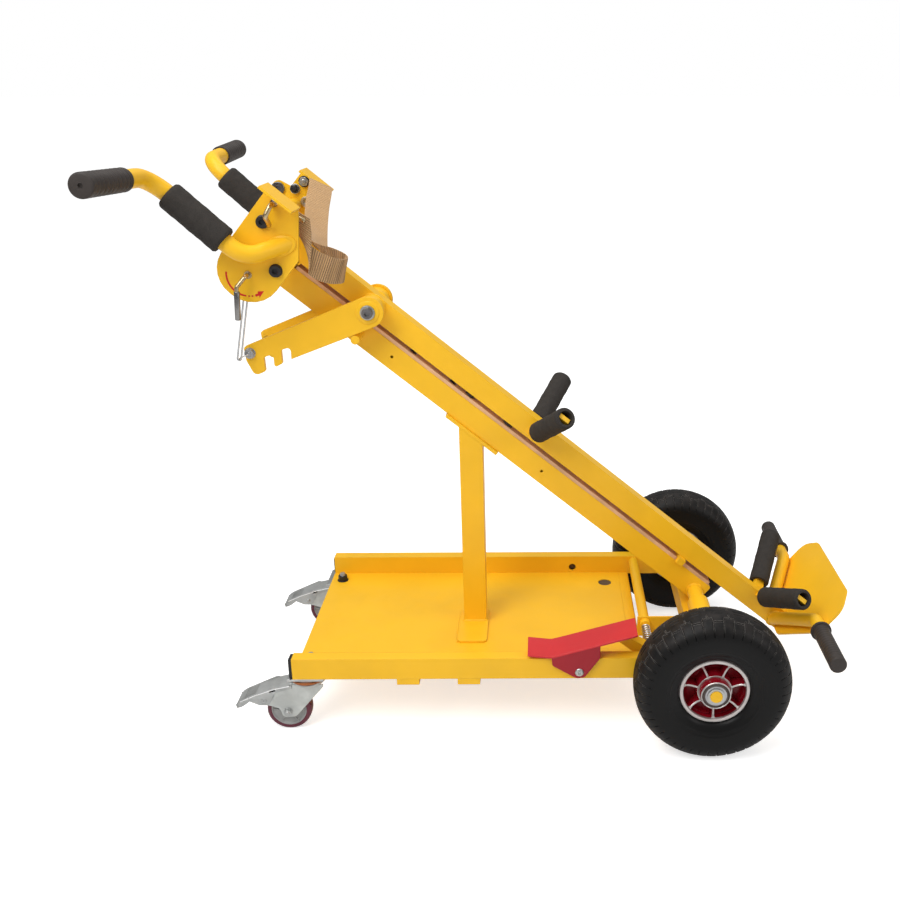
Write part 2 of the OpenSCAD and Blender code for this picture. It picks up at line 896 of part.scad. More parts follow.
module rail_bore(x, z, r) {
    bar_y(x, z, -rail_w, rail_w, r);
}

module lower_rail() {
    nose = 10;
    color(yellow) on_mast() difference() {
        plate_y(-rail_w / 2, rail_w / 2, rounded(
            [[-lower_rail_l, lower_z0 + 8], [-lower_rail_l + 9, lower_z0], [lower_rail_nose, lower_z0],
                [lower_rail_nose, lower_z1], [-lower_rail_l, lower_z1]],
            [3, 3, nose, 4, 0]));
        block([-lower_rail_l - 1, -rail_w / 2 + tube_wall, lower_z0 + 8 + tube_wall],
            [lower_rail_nose - 6, rail_w / 2 - tube_wall, lower_z1 - tube_wall]);
        rail_bore(0, 0, pivot_r + fit);
        rail_bore(-701, rail_hole_z, rail_hole_r);
        rail_bore(-370, rail_hole_z, rail_hole_r);
    }
}

module upper_rail() {
    color(yellow) on_mast() difference() {
        block([-upper_rail_l, -rail_w / 2, upper_z0], [toe_x, rail_w / 2, upper_z1]);
        block([-upper_rail_l - 1, -rail_w / 2 + tube_wall, upper_z0 + tube_wall],
            [toe_x + 1, rail_w / 2 - tube_wall, upper_z1 - tube_wall]);
        rail_bore(-hook_arm_x, hook_arm_z, bolt_r + fit);
    }
}

module mast_cap() {
    color(black) on_mast()
        block([-upper_rail_l - 3, -rail_w / 2, upper_z0], [-upper_rail_l, rail_w / 2, upper_z1]);
}

screw_x = [-677, -591];
bumper_x = [-554, -469];
strip_back = lower_rail_l - 35;

module strip_piece(x0, x1) {
    block([x0, -strip_w / 2, lower_z1], [x1, strip_w / 2, strip_z1]);
}

module wear_strip() {
    color("#8a5a34") on_mast() {
        strip_piece(-strip_back, -lug_x - rail_gap / 2 - play);
        strip_piece(-lug_x + rail_gap / 2 + play, lower_rail_nose - 8);
    }
}

module strip_screws() {
    color(black) on_mast() {
        for (x = screw_x) translate([x, 0, strip_z1]) cylinder(h = 2.5, r = 7);
        for (x = bumper_x) translate([x, 0, strip_z1]) {
            cylinder(h = 3, r = 9);
            translate([0, 0, 3]) cylinder(h = upper_z0 - strip_z1 - 3, r1 = 9, r2 = 6);
        }
    }
}

module spacer_lug() {
    color(yellow) on_mast() block(
        [-lug_x - rail_gap / 2, -lug_l / 2, lower_z1],
        [-lug_x + rail_gap / 2, lug_l / 2, upper_z0]
    );
}

module pivot_tube() {
    color(yellow) on_mast() difference() {
        bar_y(0, 0, -pivot_bearing_y1 - 4, pivot_bearing_y1 + 4, pivot_r);
        bar_y(0, 0, -pivot_bearing_y1 - 5, pivot_bearing_y1 + 5, pivot_r - 4);
    }
}

// Toe

module toe_plate() {
    z0 = upper_z0;
    z1 = upper_z0 + toe_l;
    wide_z = z1 - 83;
    shoulder_z = z1 - 26;
    half = [[toe_root, z0], [toe_half, wide_z], [toe_half, shoulder_z], [toe_tip, z1],
        [-toe_tip, z1], [-toe_half, shoulder_z], [-toe_half, wide_z], [-toe_root, z0]];
    color(yellow) on_mast()
        plate_x(toe_x, toe_x + toe_t, rounded(half, [8, 34, 32, 18, 18, 32, 34, 8]));
}

front_tube_path = [
    [front_tube_x, rail_w / 2, upper_z0 + 14],
    [front_tube_x, 122, upper_z0 + front_tube_rise],
    [front_tube_x, front_tube_reach, upper_z0 + front_tube_rise]
];

module front_tubes() {
    color(yellow) on_mast() both_sides() mirror([0, 1, 0]) difference() {
        bent_tube(front_tube_path, 24, front_tube_r, tube_wall, 20, 6);
        block([front_tube_x - 20, 0, upper_z0 - 20], [front_tube_x + 20, rail_w / 2, upper_z0 + 60]);
    }
}

front_grip_wall = front_grip_r - front_tube_r - fit;

module front_grips() {
    z = upper_z0 + front_tube_rise;
    y1 = -front_tube_reach - front_grip_wall;
    y0 = y1 + front_grip_l;
    color(black) on_mast() both_sides() difference() {
        union() {
            bar_y(front_tube_x, z, y1, y0, front_grip_r);
            bar_y(front_tube_x, z, y0 - 6, y0, front_grip_r + 3.5);
        }
        bar_y(front_tube_x, z, -front_tube_reach - fit, y0 + 1, front_tube_r + fit);
    }
}

// Padded arms: flat bars in foam sleeves

// Frame of one arm: +X out along the arm from the rail's side
module arm_at(x, rise, slope) {
    on_mast() translate([x, rail_w / 2, upper_z0 + rise]) rotate([0, 0, 90]) rotate([0, -slope, 0]) children();
}

low_arm_rise = 31;
high_arm_rise = 11;
low_arm_l = (low_arm_reach - rail_w / 2) / cos(low_arm_slope);
high_arm_l = (high_arm_reach - rail_w / 2) / cos(high_arm_slope);
pad_open = 5;

module arm_bar(length) {
    block([-10, -bar_w / 2, -bar_t / 2], [length - pad_open, bar_w / 2, bar_t / 2]);
}

module arm_bars() {
    color(yellow) both_sides() difference() {
        union() {
            arm_at(low_arms_x, low_arm_rise, low_arm_slope) arm_bar(low_arm_l);
            arm_at(-high_arms_x, high_arm_rise, high_arm_slope) arm_bar(high_arm_l);
        }
        on_mast() block([-upper_rail_l, 0, upper_z0 - 20], [toe_x, rail_w / 2, upper_z1 + 20]);
    }
}

module arm_pad(length, slope) {
    root = pad_r * tan(slope) + 4;
    difference() {
        translate([root, 0, 0]) rotate([0, 90, 0]) cylinder(h = length - root, r = pad_r);
        block([root - 1, -bar_w / 2 - fit, -bar_t / 2 - fit],
            [length - pad_open + fit, bar_w / 2 + fit, bar_t / 2 + fit]);
        translate([length - pad_open, 0, 0]) rotate([0, 90, 0]) cylinder(h = pad_open + 1, r = pad_r - 6.5);
    }
}

module arm_pads() {
    color(black) both_sides() {
        arm_at(low_arms_x, low_arm_rise, low_arm_slope) arm_pad(low_arm_l, low_arm_slope);
        arm_at(-high_arms_x, high_arm_rise, high_arm_slope) arm_pad(high_arm_l, high_arm_slope);
    }
}

// Head plates, bolts and handles

plate_x0 = -upper_rail_l;
plate_x1 = plate_x0 + plate_l;
hook_hole_x = -(upper_rail_l - 21);
hook_hole_z = flange_z - 15;
hook_hole_r = 6;

plate_outline = rounded(
    [
        [plate_x0, flange_z],
        [plate_x0 + flange_l, flange_z],
        [plate_x1, flange_z - 65],
        [plate_x1, disc_z],
        [plate_x1, disc_z - disc_r],
        [plate_x0 + 4, disc_z - disc_r],
        [plate_x0, disc_z + 10]
    ],
    [0, 6, 12, 0, disc_r - 1, disc_r - 3, 10]
);

// Ear on the far plate for one more bolt
far_ear_x = plate_x0 - 15;
far_ear_z = flange_z - 45;
far_ear_r = 12;
far_ear = rounded(
    [
        [far_ear_x - far_ear_r, far_ear_z - far_ear_r],
        [plate_x0 + 6, far_ear_z - far_ear_r],
        [plate_x0 + 6, far_ear_z + far_ear_r + 6],
        [far_ear_x - far_ear_r, far_ear_z + far_ear_r]
    ],
    [far_ear_r - 1, 0, 0, far_ear_r - 1]
);

module head_plate() {
    difference() {
        union() {
            plate_y(-plate_gap - plate_t, -plate_gap, plate_outline);
            block([plate_x0 - 4, -plate_gap - flange_w, flange_z],
                [plate_x0 + flange_l, -plate_gap, flange_z + plate_t]);
        }
        bar_y(low_bolt_x, gap_mid, -plate_gap - 9, -plate_gap + 1, bolt_r + fit);
        bar_y(high_bolt_x, high_bolt_z, -plate_gap - 9, -plate_gap + 1, bolt_r + fit);
    }
}

module head_plates() {
    color(yellow) on_mast() {
        difference() {
            head_plate();
            bar_y(lever_x, lever_z, -plate_gap - 9, -plate_gap + 1, lever_r + fit);
            bar_y(hook_hole_x, hook_hole_z, -plate_gap - 9, -plate_gap + 1, hook_hole_r);
        }
        mirror([0, 1, 0]) head_plate();
        plate_y(plate_gap, plate_gap + plate_t, far_ear);
    }
}

// Nuts on the inner face of the far plate: place and radius
far_nuts = [
    [plate_x0 + 13, flange_z - 7, 8.5],
    [plate_x0 + 8, flange_z - 27, 8],
    [plate_x0 + 35.5, flange_z - 33, 8]
];
nut_h = 6;

module far_bolts() {
    for (n = far_nuts) bar_y(n.x, n.y, plate_gap - nut_h, plate_gap, n.z);
    bar_y(far_ear_x, far_ear_z, plate_gap - 5, plate_gap, far_ear_r - 1);
}

module head_bolt(x, z) {
    side = plate_gap + plate_t;
    bar_y(x, z, -side, side, bolt_r);
    bar_y(x, z, -side - 7, -side, bolt_r + 5);
    bar_y(x, z, side, side + 7, bolt_r + 5);
}

module head_bolts() {
    side = hook_arm_y + hook_arm_t + play;
    color(black) on_mast() {
        head_bolt(low_bolt_x, gap_mid);
        head_bolt(high_bolt_x, high_bolt_z);
        far_bolts();
        bar_y(-hook_arm_x, hook_arm_z, -side, side, bolt_r);
        for (s = [-1, 1]) {
            bar_y(-hook_arm_x, hook_arm_z, s * (side + 1.5) - 1.5, s * (side + 1.5) + 1.5, bolt_r + 8);
            bar_y(-hook_arm_x, hook_arm_z, s * (side + 6) - 3, s * (side + 6) + 3, bolt_r + 3);
        }
    }
}

module head_spacer(x, z) {
    difference() {
        bar_y(x, z, -plate_gap, -rail_w / 2, spacer_r);
        bar_y(x, z, -plate_gap - 1, -rail_w / 2 + 1, bolt_r + fit);
    }
}

module head_spacers() {
    color(yellow) on_mast() both_sides() {
        head_spacer(low_bolt_x, gap_mid);
        head_spacer(high_bolt_x, high_bolt_z);
    }
}

module handle_tubes() {
    side = plate_gap + plate_t;
    color(yellow) on_mast() both_sides() mirror([0, 1, 0]) difference() {
        bent_tube(handle_path, handle_bend, handle_r, handle_wall, 24, 6);
        block([plate_x0 - 20, side - 60, upper_z0 - 60], [plate_x1 + 40, side, flange_z]);
    }
}

sleeve_dir = unit(handle_path[2] - handle_path[1]);
sleeve_start = handle_path[1] + sleeve_dir * 38;

module handle_sleeves() {
    color(black) on_mast() both_sides() mirror([0, 1, 0]) difference() {
        rod(sleeve_start, sleeve_start + sleeve_dir * sleeve_l, sleeve_r);
        rod(sleeve_start - sleeve_dir, sleeve_start + sleeve_dir * (sleeve_l + 1), handle_r + fit);
    }
}

module handle_grips() {
    start = grip_end - grip_dir * grip_l;
    color(black) on_mast() both_sides() mirror([0, 1, 0]) difference() {
        rod(start, grip_end, grip_r);
        rod(start - grip_dir, handle_path[3] + grip_dir * fit, handle_r + fit);
    }
}

// Notched arms that hang from the upper rail

notch_x = [-hook_arm_l + 27, -hook_arm_l + 59];
arm_mid = -hook_arm_l / 2;
notch_lean = (notch_h + 2) * tan(hook_arm_drop - mast_angle);

hook_arm_outline = rounded(
    [
        [0, hook_arm_r],
        [-hook_arm_l - 6, 13],
        [-hook_arm_l - 11, -10],
        [-hook_arm_l - 8, hook_edge_z - 11],
        [notch_x[0] - notch_w / 2 - notch_lean, hook_edge_z - 9],
        [notch_x[0] - notch_w / 2, hook_edge_z + notch_h - 4],
        [notch_x[0] + notch_w / 2, hook_edge_z + notch_h - 4],
        [notch_x[0] + notch_w / 2 - notch_lean, hook_edge_z - 8],
        [notch_x[1] - notch_w / 2 - notch_lean, hook_edge_z - 6],
        [notch_x[1] - notch_w / 2, hook_edge_z + notch_h - 2],
        [notch_x[1] + notch_w / 2, hook_edge_z + notch_h - 2],
        [notch_x[1] + notch_w / 2 - notch_lean, hook_edge_z - 4],
        [-45, hook_edge_z],
        [0, -hook_arm_r],
        [hook_arm_r, -hook_arm_r],
        [hook_arm_r, hook_arm_r]
    ],
    [0, 6, 12, 9, 3, 5, 5, 3, 3, 5.5, 5.5, 0, 0, 0, hook_arm_r - 0.5, hook_arm_r - 0.5]
);

module hook_arms() {
    color(yellow) on_hook_arms() both_sides() difference() {
        plate_y(-hook_arm_y - hook_arm_t, -hook_arm_y, hook_arm_outline);
        bar_y(0, 0, -hook_arm_y - 20, -hook_arm_y + 1, bolt_r + fit);
        bar_y(-hook_arm_l, 0, -hook_arm_y - 20, -hook_arm_y + 1, 4 + fit);
    }
}

stub_x = -37;
stub_z = hook_edge_z - play - 0.4 - stub_r;

module hook_arm_mounts() {
    color(yellow) on_hook_arms() both_sides() {
        difference() {
            bar_y(0, 0, -hook_arm_y + play, -rail_w / 2, 22);
            bar_y(0, 0, -hook_arm_y - 1, -rail_w / 2 + 1, bolt_r + fit);
        }
        bar_y(stub_x, stub_z, -hook_arm_y - hook_arm_t, -rail_w / 2, stub_r);
    }
}

link_y = -(hook_arm_y + hook_arm_t + 21);

module hook_arm_bolt() {
    side = hook_arm_y + hook_arm_t;
    eye_r = 1.1;
    color(steel) on_hook_arms() {
        bar_y(-hook_arm_l, 0, -side - 8, side + 8, 4);
        hex_y(-hook_arm_l, 0, -side - 7, -side, 8);
        hex_y(-hook_arm_l, 0, side, side + 7, 8);
        block([hook_pin_x - 2, -side - 11, -2], [-hook_arm_l + 3, -side - 8, 2]);
        bar_y(hook_pin_x, 0, link_y - 4, -side - 8, eye_r);
    }
}

// Wire link and lock lever

link_inner = link_gap - 2 * link_r;

module on_link() {
    on_hook_arms() translate([hook_pin_x, link_y, 0]) rotate([0, link_lean, 0]) children();
}

module wire_link() {
    bend = link_gap / 2;
    drop = bend - link_r - 1.1 - fit;
    color(zinc) on_link() translate([0, 0, drop]) {
        for (s = [-1, 1])
            rod([s * bend, 0, 0], [s * bend, 0, link_l - 2 * bend], link_r);
        rotate([90, 0, 0]) rotate_extrude(angle = 180) translate([-bend, 0]) circle(r = link_r);
        translate([0, 0, link_l - 2 * bend]) rotate([90, 0, 0]) rotate_extrude(angle = 180)
            translate([bend, 0]) circle(r = link_r);
    }
}

lever_y0 = link_y - link_r - 1;
lever_elbow_y = -(plate_gap + plate_t + 16);
lever_foot = [0, lever_elbow_y - 8, -20];
lever_down = unit([sin(mast_angle) - 0.06, 0, -cos(mast_angle)]);
crank_angle = 225 + mast_angle;

module lever() {
    crank_t = 4;
    color(zinc) on_mast() translate([lever_x, 0, lever_z]) {
        bent_rod([[0, lever_y0 - crank_t, 0], [0, lever_elbow_y, 0], lever_foot,
            lever_foot + lever_down * (lever_sleeve_l + 4)], 5, lever_r, 12, 4);
        rotate([0, -crank_angle, 0]) {
            plate_y(lever_y0 - crank_t, lever_y0, rounded(
                [[-6, -6], [crank_l + 4, -4], [crank_l + 4, 4], [-6, 6]], [5, 3, 3, 5]));
            bar_y(crank_l, 0, lever_y0, lever_y0 + 0.5, 1);
        }
    }
}

module lever_sleeve() {
    top = lever_foot + lever_down * 6;
    tip = top + lever_down * lever_sleeve_l;
    color("#55504d") on_mast() translate([lever_x, 0, lever_z]) difference() {
        rod(top, tip, lever_sleeve_r);
        rod(top - lever_down, tip - lever_down * (2 - fit), lever_r + fit);
    }
}

// Strap and its hook

// Places along the webbing: middle point, then the direction of its width
strap_route = [
    [[-655, -97, 866], [0.875, 0.00, -0.483]],
    [[-655, -97, 845], [0.80, 0.10, -0.58]],
    [[-655, -96, 818], [0.45, 0.20, -0.86]],
    [[-646, -88, 797], [0.10, 0.10, -0.99]],
    [[-622, -72, 785], [0.02, 0.05, -1.00]],
    [[-603, -58, 780], [0.04, 0.00, -1.00]],
    [[-599, -44, 780], [0.06, 0.00, -1.00]],
    [[-608, -30, 785], [0.12, 0.00, -0.99]],
    [[-628, -25, 797], [0.35, 0.02, -0.94]],
    [[-645, -21, 812], [0.62, 0.02, -0.78]],
    [[-654, 0, 826], [0.77, 0.00, -0.64]],
    [[-656, 30, 842], [0.80, 0.00, -0.60]],
    [[-658, 62, 866], [0.86, 0.00, -0.51]],
    [[-660, 90, 888], [0.90, 0.00, -0.44]],
    [[-661, 103, 902], [0.91, 0.00, -0.42]]
];
strap_steps = 3;

// The webbing hangs on the head and goes with it along the mast
strap_rail_l = 1013;
strap_shift = (strap_rail_l - upper_rail_l) * [cos(mast_angle), 0, -sin(mast_angle)];

// Smooth curve through four neighbours of a route
function smooth(a, b, c, d, t) =
    0.5 * ((2 * b) + (c - a) * t + (2 * a - 5 * b + 4 * c - d) * t * t
        + (3 * b - a - 3 * c + d) * t * t * t);

function route_at(route, k, part, t) =
    let (last = len(route) - 1)
    smooth(route[max(k - 1, 0)][part], route[k][part], route[min(k + 1, last)][part],
        route[min(k + 2, last)][part], t);

function strap_point(i, part) =
    let (
        last = len(strap_route) - 1,
        k = min(floor(i / strap_steps), last - 1)
    )
    route_at(strap_route, k, part, i / strap_steps - k);

strap_rings = (len(strap_route) - 1) * strap_steps;

// Corners of the webbing's section at place i
function strap_ring(i) =
    let (
        p = strap_point(i, 0),
        along = unit(strap_point(min(i + 1, strap_rings), 0) - strap_point(max(i - 1, 0), 0)),
        w = unit(strap_point(i, 1)),
        n = unit(cross(along, w))
    )
    [for (c = [[-1, -1], [1, -1], [1, 1], [-1, 1]]) p + w * c.x * strap_w / 2 + n * c.y * strap_t / 2];

module strap() {
    color("#b08a5c") on_cart() translate(strap_shift) skin([for (i = [0:strap_rings]) strap_ring(i)]);
}

hook_low_z = hook_hole_z - hook_hole_r + hook_r + fit;
hook_path = [
    [hook_hole_x + 14, -plate_gap - 12, hook_hole_z - 32],
    [hook_hole_x + 6, -plate_gap - 26, hook_hole_z - 20],
    [hook_hole_x, -plate_gap - 22, hook_low_z],
    [hook_hole_x, -plate_gap + 11, hook_low_z],
    [hook_hole_x + 66, -plate_gap + 11, hook_low_z + 12]
];

module strap_hook() {
    color("#b59a62") on_mast() bent_rod(hook_path, 5, hook_r, 10, 4);
}

// Pedal and latch

pedal_kink = [-47, 25.5];
pedal_right = 97;
pedal_left = 87;
pedal_ear_right = 35;
pedal_slope = 16;
pedal_heel_rise = 5;
pedal_ear_t = 4;

module on_pedal() {
    on_cart() translate([-pedal_x, 0, pedal_z]) children();
}

module pedal() {
    y0 = -rail_out - 2 - pedal_ear_t;
    rise = tan(pedal_slope);
    right = [pedal_right, pedal_kink.y + (pedal_right - pedal_kink.x) * rise];
    left = [-pedal_left, pedal_kink.y + pedal_heel_rise];
    lift = [0, pedal_t];
    color(red) on_pedal() difference() {
        union() {
            plate_y(y0, y0 + pedal_w, [left, pedal_kink, right, right + lift, pedal_kink + lift, left + lift]);
            plate_y(y0, y0 + pedal_ear_t, rounded(
                [pedal_kink, [pedal_kink.x + 1.5, pedal_kink.y - 13], [-4, -12.5], [9, -10],
                    [pedal_ear_right, pedal_kink.y + 1],
                    [pedal_ear_right, pedal_kink.y + (pedal_ear_right - pedal_kink.x) * rise]],
                [0, 6, 9, 8, 4, 0]));
        }
        bar_y(0, 0, y0 - 1, y0 + pedal_ear_t + 1, pedal_pin_r + fit);
    }
}

module pedal_pin() {
    y0 = -rail_out - 2 - pedal_ear_t;
    color(zinc) on_pedal() {
        bar_y(0, 0, y0 - play, -rail_in, pedal_pin_r);
        bar_y(0, 0, y0 - play - 3, y0 - play, pedal_pin_r + 3);
        difference() {
            bar_y(0, 0, -rail_out - 2 + play, -rail_out, pedal_pin_r + 3);
            bar_y(0, 0, -rail_out - 5, -rail_out + 1, pedal_pin_r + fit);
        }
        bar_y(0, 0, -rail_in, -rail_in + 4, pedal_pin_r + 4);
    }
}

latch_tube_end = bracket_y0 - 11;
latch_arm_y0 = -rail_in + 4;
latch_arm_y1 = latch_arm_y0 + 26;

module latch_shaft() {
    color(yellow) on_cart() translate([-latch_x, 0, latch_z]) {
        bar_y(0, 0, latch_tube_end, rail_in - play, latch_r);
        bar_y(0, 0, -rail_in + play, latch_tube_end, latch_rod_r);
        plate_y(latch_arm_y0, latch_arm_y1, rounded(
            [[9, -9], [9, 9], [-6, 15], [-52, 42], [-62, 38], [-60, 31], [-9, -9]],
            [6, 6, 6, 3, 3, 4, 6]));
    }
}

spring_y1 = latch_tube_end - 3;
spring_y0 = latch_arm_y1 + 3;
spring_rings = 8;

module latch_spring() {
    total = spring_turns * spring_rings;
    pitch = (spring_y1 - spring_y0 - 2 * spring_wire_r) / spring_turns;
    turn_gap = sqrt(pitch * pitch * (1 - pow(pitch / (2 * PI * spring_r), 2))) - 2 * spring_wire_r;
    echo(least_gap_between_spring_turns = turn_gap);
    color(zinc) on_cart() translate([-latch_x, spring_y0 + spring_wire_r, latch_z])
        skin([
            for (i = [0:total])
                let (
                    a = 360 * i / spring_rings,
                    out = [cos(a), 0, sin(a)],
                    side = [0, 1, 0]
                )
                [
                    for (k = [0:5])
                        out * (spring_r + spring_wire_r * cos(60 * k))
                            + side * (pitch * i / spring_rings + spring_wire_r * sin(60 * k))
                ]
        ]);
}

side_rails();
rail_end_caps();
tray_floor();
tray_bearers();
axle_beam();
latch_bracket();
pivot_bearings();
post();
post_plates();
axle();
axle_rings();
caster_plates();
caster_bolts();
caster_dust_rings();
near_tyre();
near_rim();
near_wheel_bearings();
far_tyre();
far_rim();
far_wheel_bearings();
near_caster_fork();
near_caster_pins();
near_caster_core();
near_caster_tread();
near_brake_lever();
far_caster_fork();
far_caster_pins();
far_caster_core();
far_caster_tread();
far_brake_lever();
upper_rail();
lower_rail();
mast_cap();
wear_strip();
strip_screws();
spacer_lug();
pivot_tube();
toe_plate();
front_tubes();
front_grips();
arm_bars();
arm_pads();
head_plates();
head_bolts();
head_spacers();
handle_tubes();
handle_sleeves();
handle_grips();
hook_arm_mounts();
hook_arms();
hook_arm_bolt();
wire_link();
lever();
lever_sleeve();
strap();
strap_hook();
pedal();
pedal_pin();
latch_shaft();
latch_spring();
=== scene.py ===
"""Looks of a tilting hand cart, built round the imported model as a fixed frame. Metres, row frame."""
import json
import math

import bpy
from mathutils import Matrix, Vector


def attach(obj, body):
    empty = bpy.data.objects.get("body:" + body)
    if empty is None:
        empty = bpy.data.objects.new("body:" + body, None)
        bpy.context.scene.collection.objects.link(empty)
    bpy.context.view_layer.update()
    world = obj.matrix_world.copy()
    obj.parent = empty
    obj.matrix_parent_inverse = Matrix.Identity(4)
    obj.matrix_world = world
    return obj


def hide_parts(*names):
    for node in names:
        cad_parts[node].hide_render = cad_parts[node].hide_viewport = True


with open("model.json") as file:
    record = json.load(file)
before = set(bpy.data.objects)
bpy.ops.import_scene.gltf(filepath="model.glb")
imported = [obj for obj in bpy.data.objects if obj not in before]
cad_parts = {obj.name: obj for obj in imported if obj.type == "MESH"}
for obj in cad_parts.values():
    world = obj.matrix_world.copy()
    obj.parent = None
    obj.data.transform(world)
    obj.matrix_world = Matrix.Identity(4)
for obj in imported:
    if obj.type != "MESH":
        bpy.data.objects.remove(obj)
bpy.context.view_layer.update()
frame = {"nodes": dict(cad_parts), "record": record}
nodes = frame["nodes"]

MM = 0.001
SIDES = (("near", -1), ("far", 1))
BOTH = (-1, 1)


def mm(*values):
    return Vector([v * MM for v in values])


def moved(x, y, z):
    """Frame at a place in millimetres."""
    return Matrix.Translation(mm(x, y, z))


def turned(degrees, axis):
    return Matrix.Rotation(math.radians(degrees), 4, axis)


# Frames of the bodies at rest. Each shape below is in millimetres of one of these.
MIDDLE_X = -0.314389
MAST_TILT = 39.5
ARM_X, ARM_Z = -779, 52.4
LEVER_X, LEVER_Z = -960, -2
CART = Matrix.Translation((-MIDDLE_X, 0, 0))
MAST = CART @ moved(3, 0, 172) @ turned(MAST_TILT, "Y")
ARMS = MAST @ moved(ARM_X, 0, ARM_Z) @ turned(-58.4, "Y")
LINK = ARMS @ moved(-223, -79, 0) @ turned(30, "Y")
LEVER = MAST @ moved(LEVER_X, 0, LEVER_Z)

# Places that several pieces share, in millimetres
HEAD_Y = 112
ARM_Y = 58
WHEEL_Y, WHEEL_Z = 250, 130
TRAY_Z = 111
RAIL_Y = 181
PEDAL_X, PEDAL_Y, PEDAL_Z = -217, 209, 123


# Materials


def toned(color, factor, lift=0.0):
    """A lighter or darker tone of a colour."""
    return tuple(min(1, c * factor + lift) for c in color)


class Graph:
    """Makes and links the nodes of one tree."""

    def __init__(self, tree):
        self.tree = tree

    def new(self, kind, **settings):
        node = self.tree.nodes.new(kind)
        for key, value in settings.items():
            setattr(node, key, value)
        return node

    def link(self, source, target):
        self.tree.links.new(source, target)

    def feed(self, socket, value):
        """Sets a socket to a number or colour, or links it."""
        if isinstance(value, tuple):
            socket.default_value = (*value, 1)
        elif isinstance(value, (int, float)):
            socket.default_value = value
        else:
            self.link(value, socket)

    def filled(self, kind, given, output=0, **settings):
        """Adds a node with these inputs set or linked, and gives one of its outputs."""
        node = self.new(kind, **settings)
        for name, value in given.items():
            self.feed(node.inputs[name], value)
        return node.outputs[output]

    def math(self, operation, a, b=0.0):
        return self.filled("ShaderNodeMath", {0: a, 1: b}, operation=operation)

    def ramp(self, value, low, high, a=0.0, b=1.0):
        """Maps a value from low..high to a..b."""
        given = {"Value": value, "From Min": low, "From Max": high, "To Min": a, "To Max": b}
        return self.filled("ShaderNodeMapRange", given, "Result")

    def split(self, vector):
        """The three parts of a vector."""
        node = self.new("ShaderNodeSeparateXYZ")
        self.link(vector, node.inputs[0])
        return node.outputs

    def seen(self):
        """1 on rays from the camera, also through something clear, and else 0."""
        rays = self.new("ShaderNodeLightPath").outputs
        return self.math("MAXIMUM", rays["Is Camera Ray"], rays["Is Transmission Ray"])


class Nodes(Graph):
    """Builds one material's node tree."""

    def __init__(self, name, color, rough, metal=0.0, coat=0.0, shine=0.5):
        self.mat = bpy.data.materials.new(name)
        self.mat.use_nodes = True
        super().__init__(self.mat.node_tree)
        self.shader = self.tree.nodes["Principled BSDF"]
        self.set("Base Color", (*color, 1))
        self.set("Roughness", rough)
        self.set("Metallic", metal)
        self.set("Specular IOR Level", shine)
        self.set("Coat Weight", coat)
        self.set("Coat Roughness", 0.2)
        self.coords = self.new("ShaderNodeTexCoord").outputs["Object"]
        self.mat.diffuse_color = (*color, 1)

    def set(self, socket, value):
        self.shader.inputs[socket].default_value = value

    def to(self, source, socket):
        self.link(source, self.shader.inputs[socket])

    def wave(self, operation, value, pitch):
        """A sine or cosine that repeats after a pitch."""
        return self.math(operation, self.math("MULTIPLY", value, 2 * math.pi / pitch))

    def noise(self, scale, detail=4.0):
        given = {"Scale": scale, "Detail": detail, "Roughness": 0.55, "Vector": self.coords}
        return self.filled("ShaderNodeTexNoise", given, "Fac")

    def cells(self, scale):
        return self.filled("ShaderNodeTexVoronoi", {"Scale": scale, "Vector": self.coords}, "Distance")

    def mix(self, factor, a, b):
        return self.filled("ShaderNodeMix", {6: a, 7: b, 0: factor}, 2, data_type="RGBA")

    def edge(self, radius=0.0016):
        """How close a point is to a sharp edge, with the rounded normal."""
        soft = self.filled("ShaderNodeBevel", {"Radius": radius}, "Normal", samples=4)
        plain = self.new("ShaderNodeNewGeometry").outputs["Normal"]
        dot = self.filled("ShaderNodeVectorMath", {0: soft, 1: plain}, "Value", operation="DOT_PRODUCT")
        return self.ramp(dot, 0.99, 0.8), soft

    def bump(self, height, strength, distance, normal=None):
        given = {"Strength": strength, "Distance": distance, "Height": height}
        if normal is not None:
            given["Normal"] = normal
        self.to(self.filled("ShaderNodeBump", given, "Normal"), "Normal")


def paint(name, color, rough=0.36):
    """Gloss paint, a little darker where its edges are worn."""
    m = Nodes(name, color, rough, shine=0.32)
    near_edge, soft = m.edge()
    shade = m.mix(m.ramp(m.noise(9.0, 3.0), 0.35, 0.65), toned(color, 0.96), toned(color, 1.03))
    worn = m.math("MULTIPLY", near_edge, m.ramp(m.noise(60.0, 5.0), 0.45, 0.7))
    shade = m.mix(m.math("MULTIPLY", worn, 0.5), shade, toned(color, 0.86))
    m.to(shade, "Base Color")
    m.to(m.ramp(m.noise(35.0), 0.3, 0.7, rough - 0.05, rough + 0.08), "Roughness")
    m.bump(m.noise(420.0, 2.0), 0.12, 0.0004, soft)
    return m.mat


def metal(name, color, rough, scale=120.0, strength=0.1, metallic=1.0, blotch=0.1):
    """Bare or plated metal with soft blotches, lighter along its edges."""
    m = Nodes(name, color, rough, metallic)
    near_edge, soft = m.edge(0.0008)
    fine = m.noise(scale)
    high = toned(color, 1 + blotch)
    shade = m.mix(m.ramp(m.noise(28.0, 3.0), 0.35, 0.65), toned(color, 1 - blotch), high)
    shade = m.mix(m.math("MULTIPLY", near_edge, 0.35), shade, high)
    m.to(shade, "Base Color")
    m.to(m.ramp(fine, 0.3, 0.7, rough - 0.06, rough + 0.1), "Roughness")
    m.bump(fine, strength, 0.0003, soft)
    return m.mat


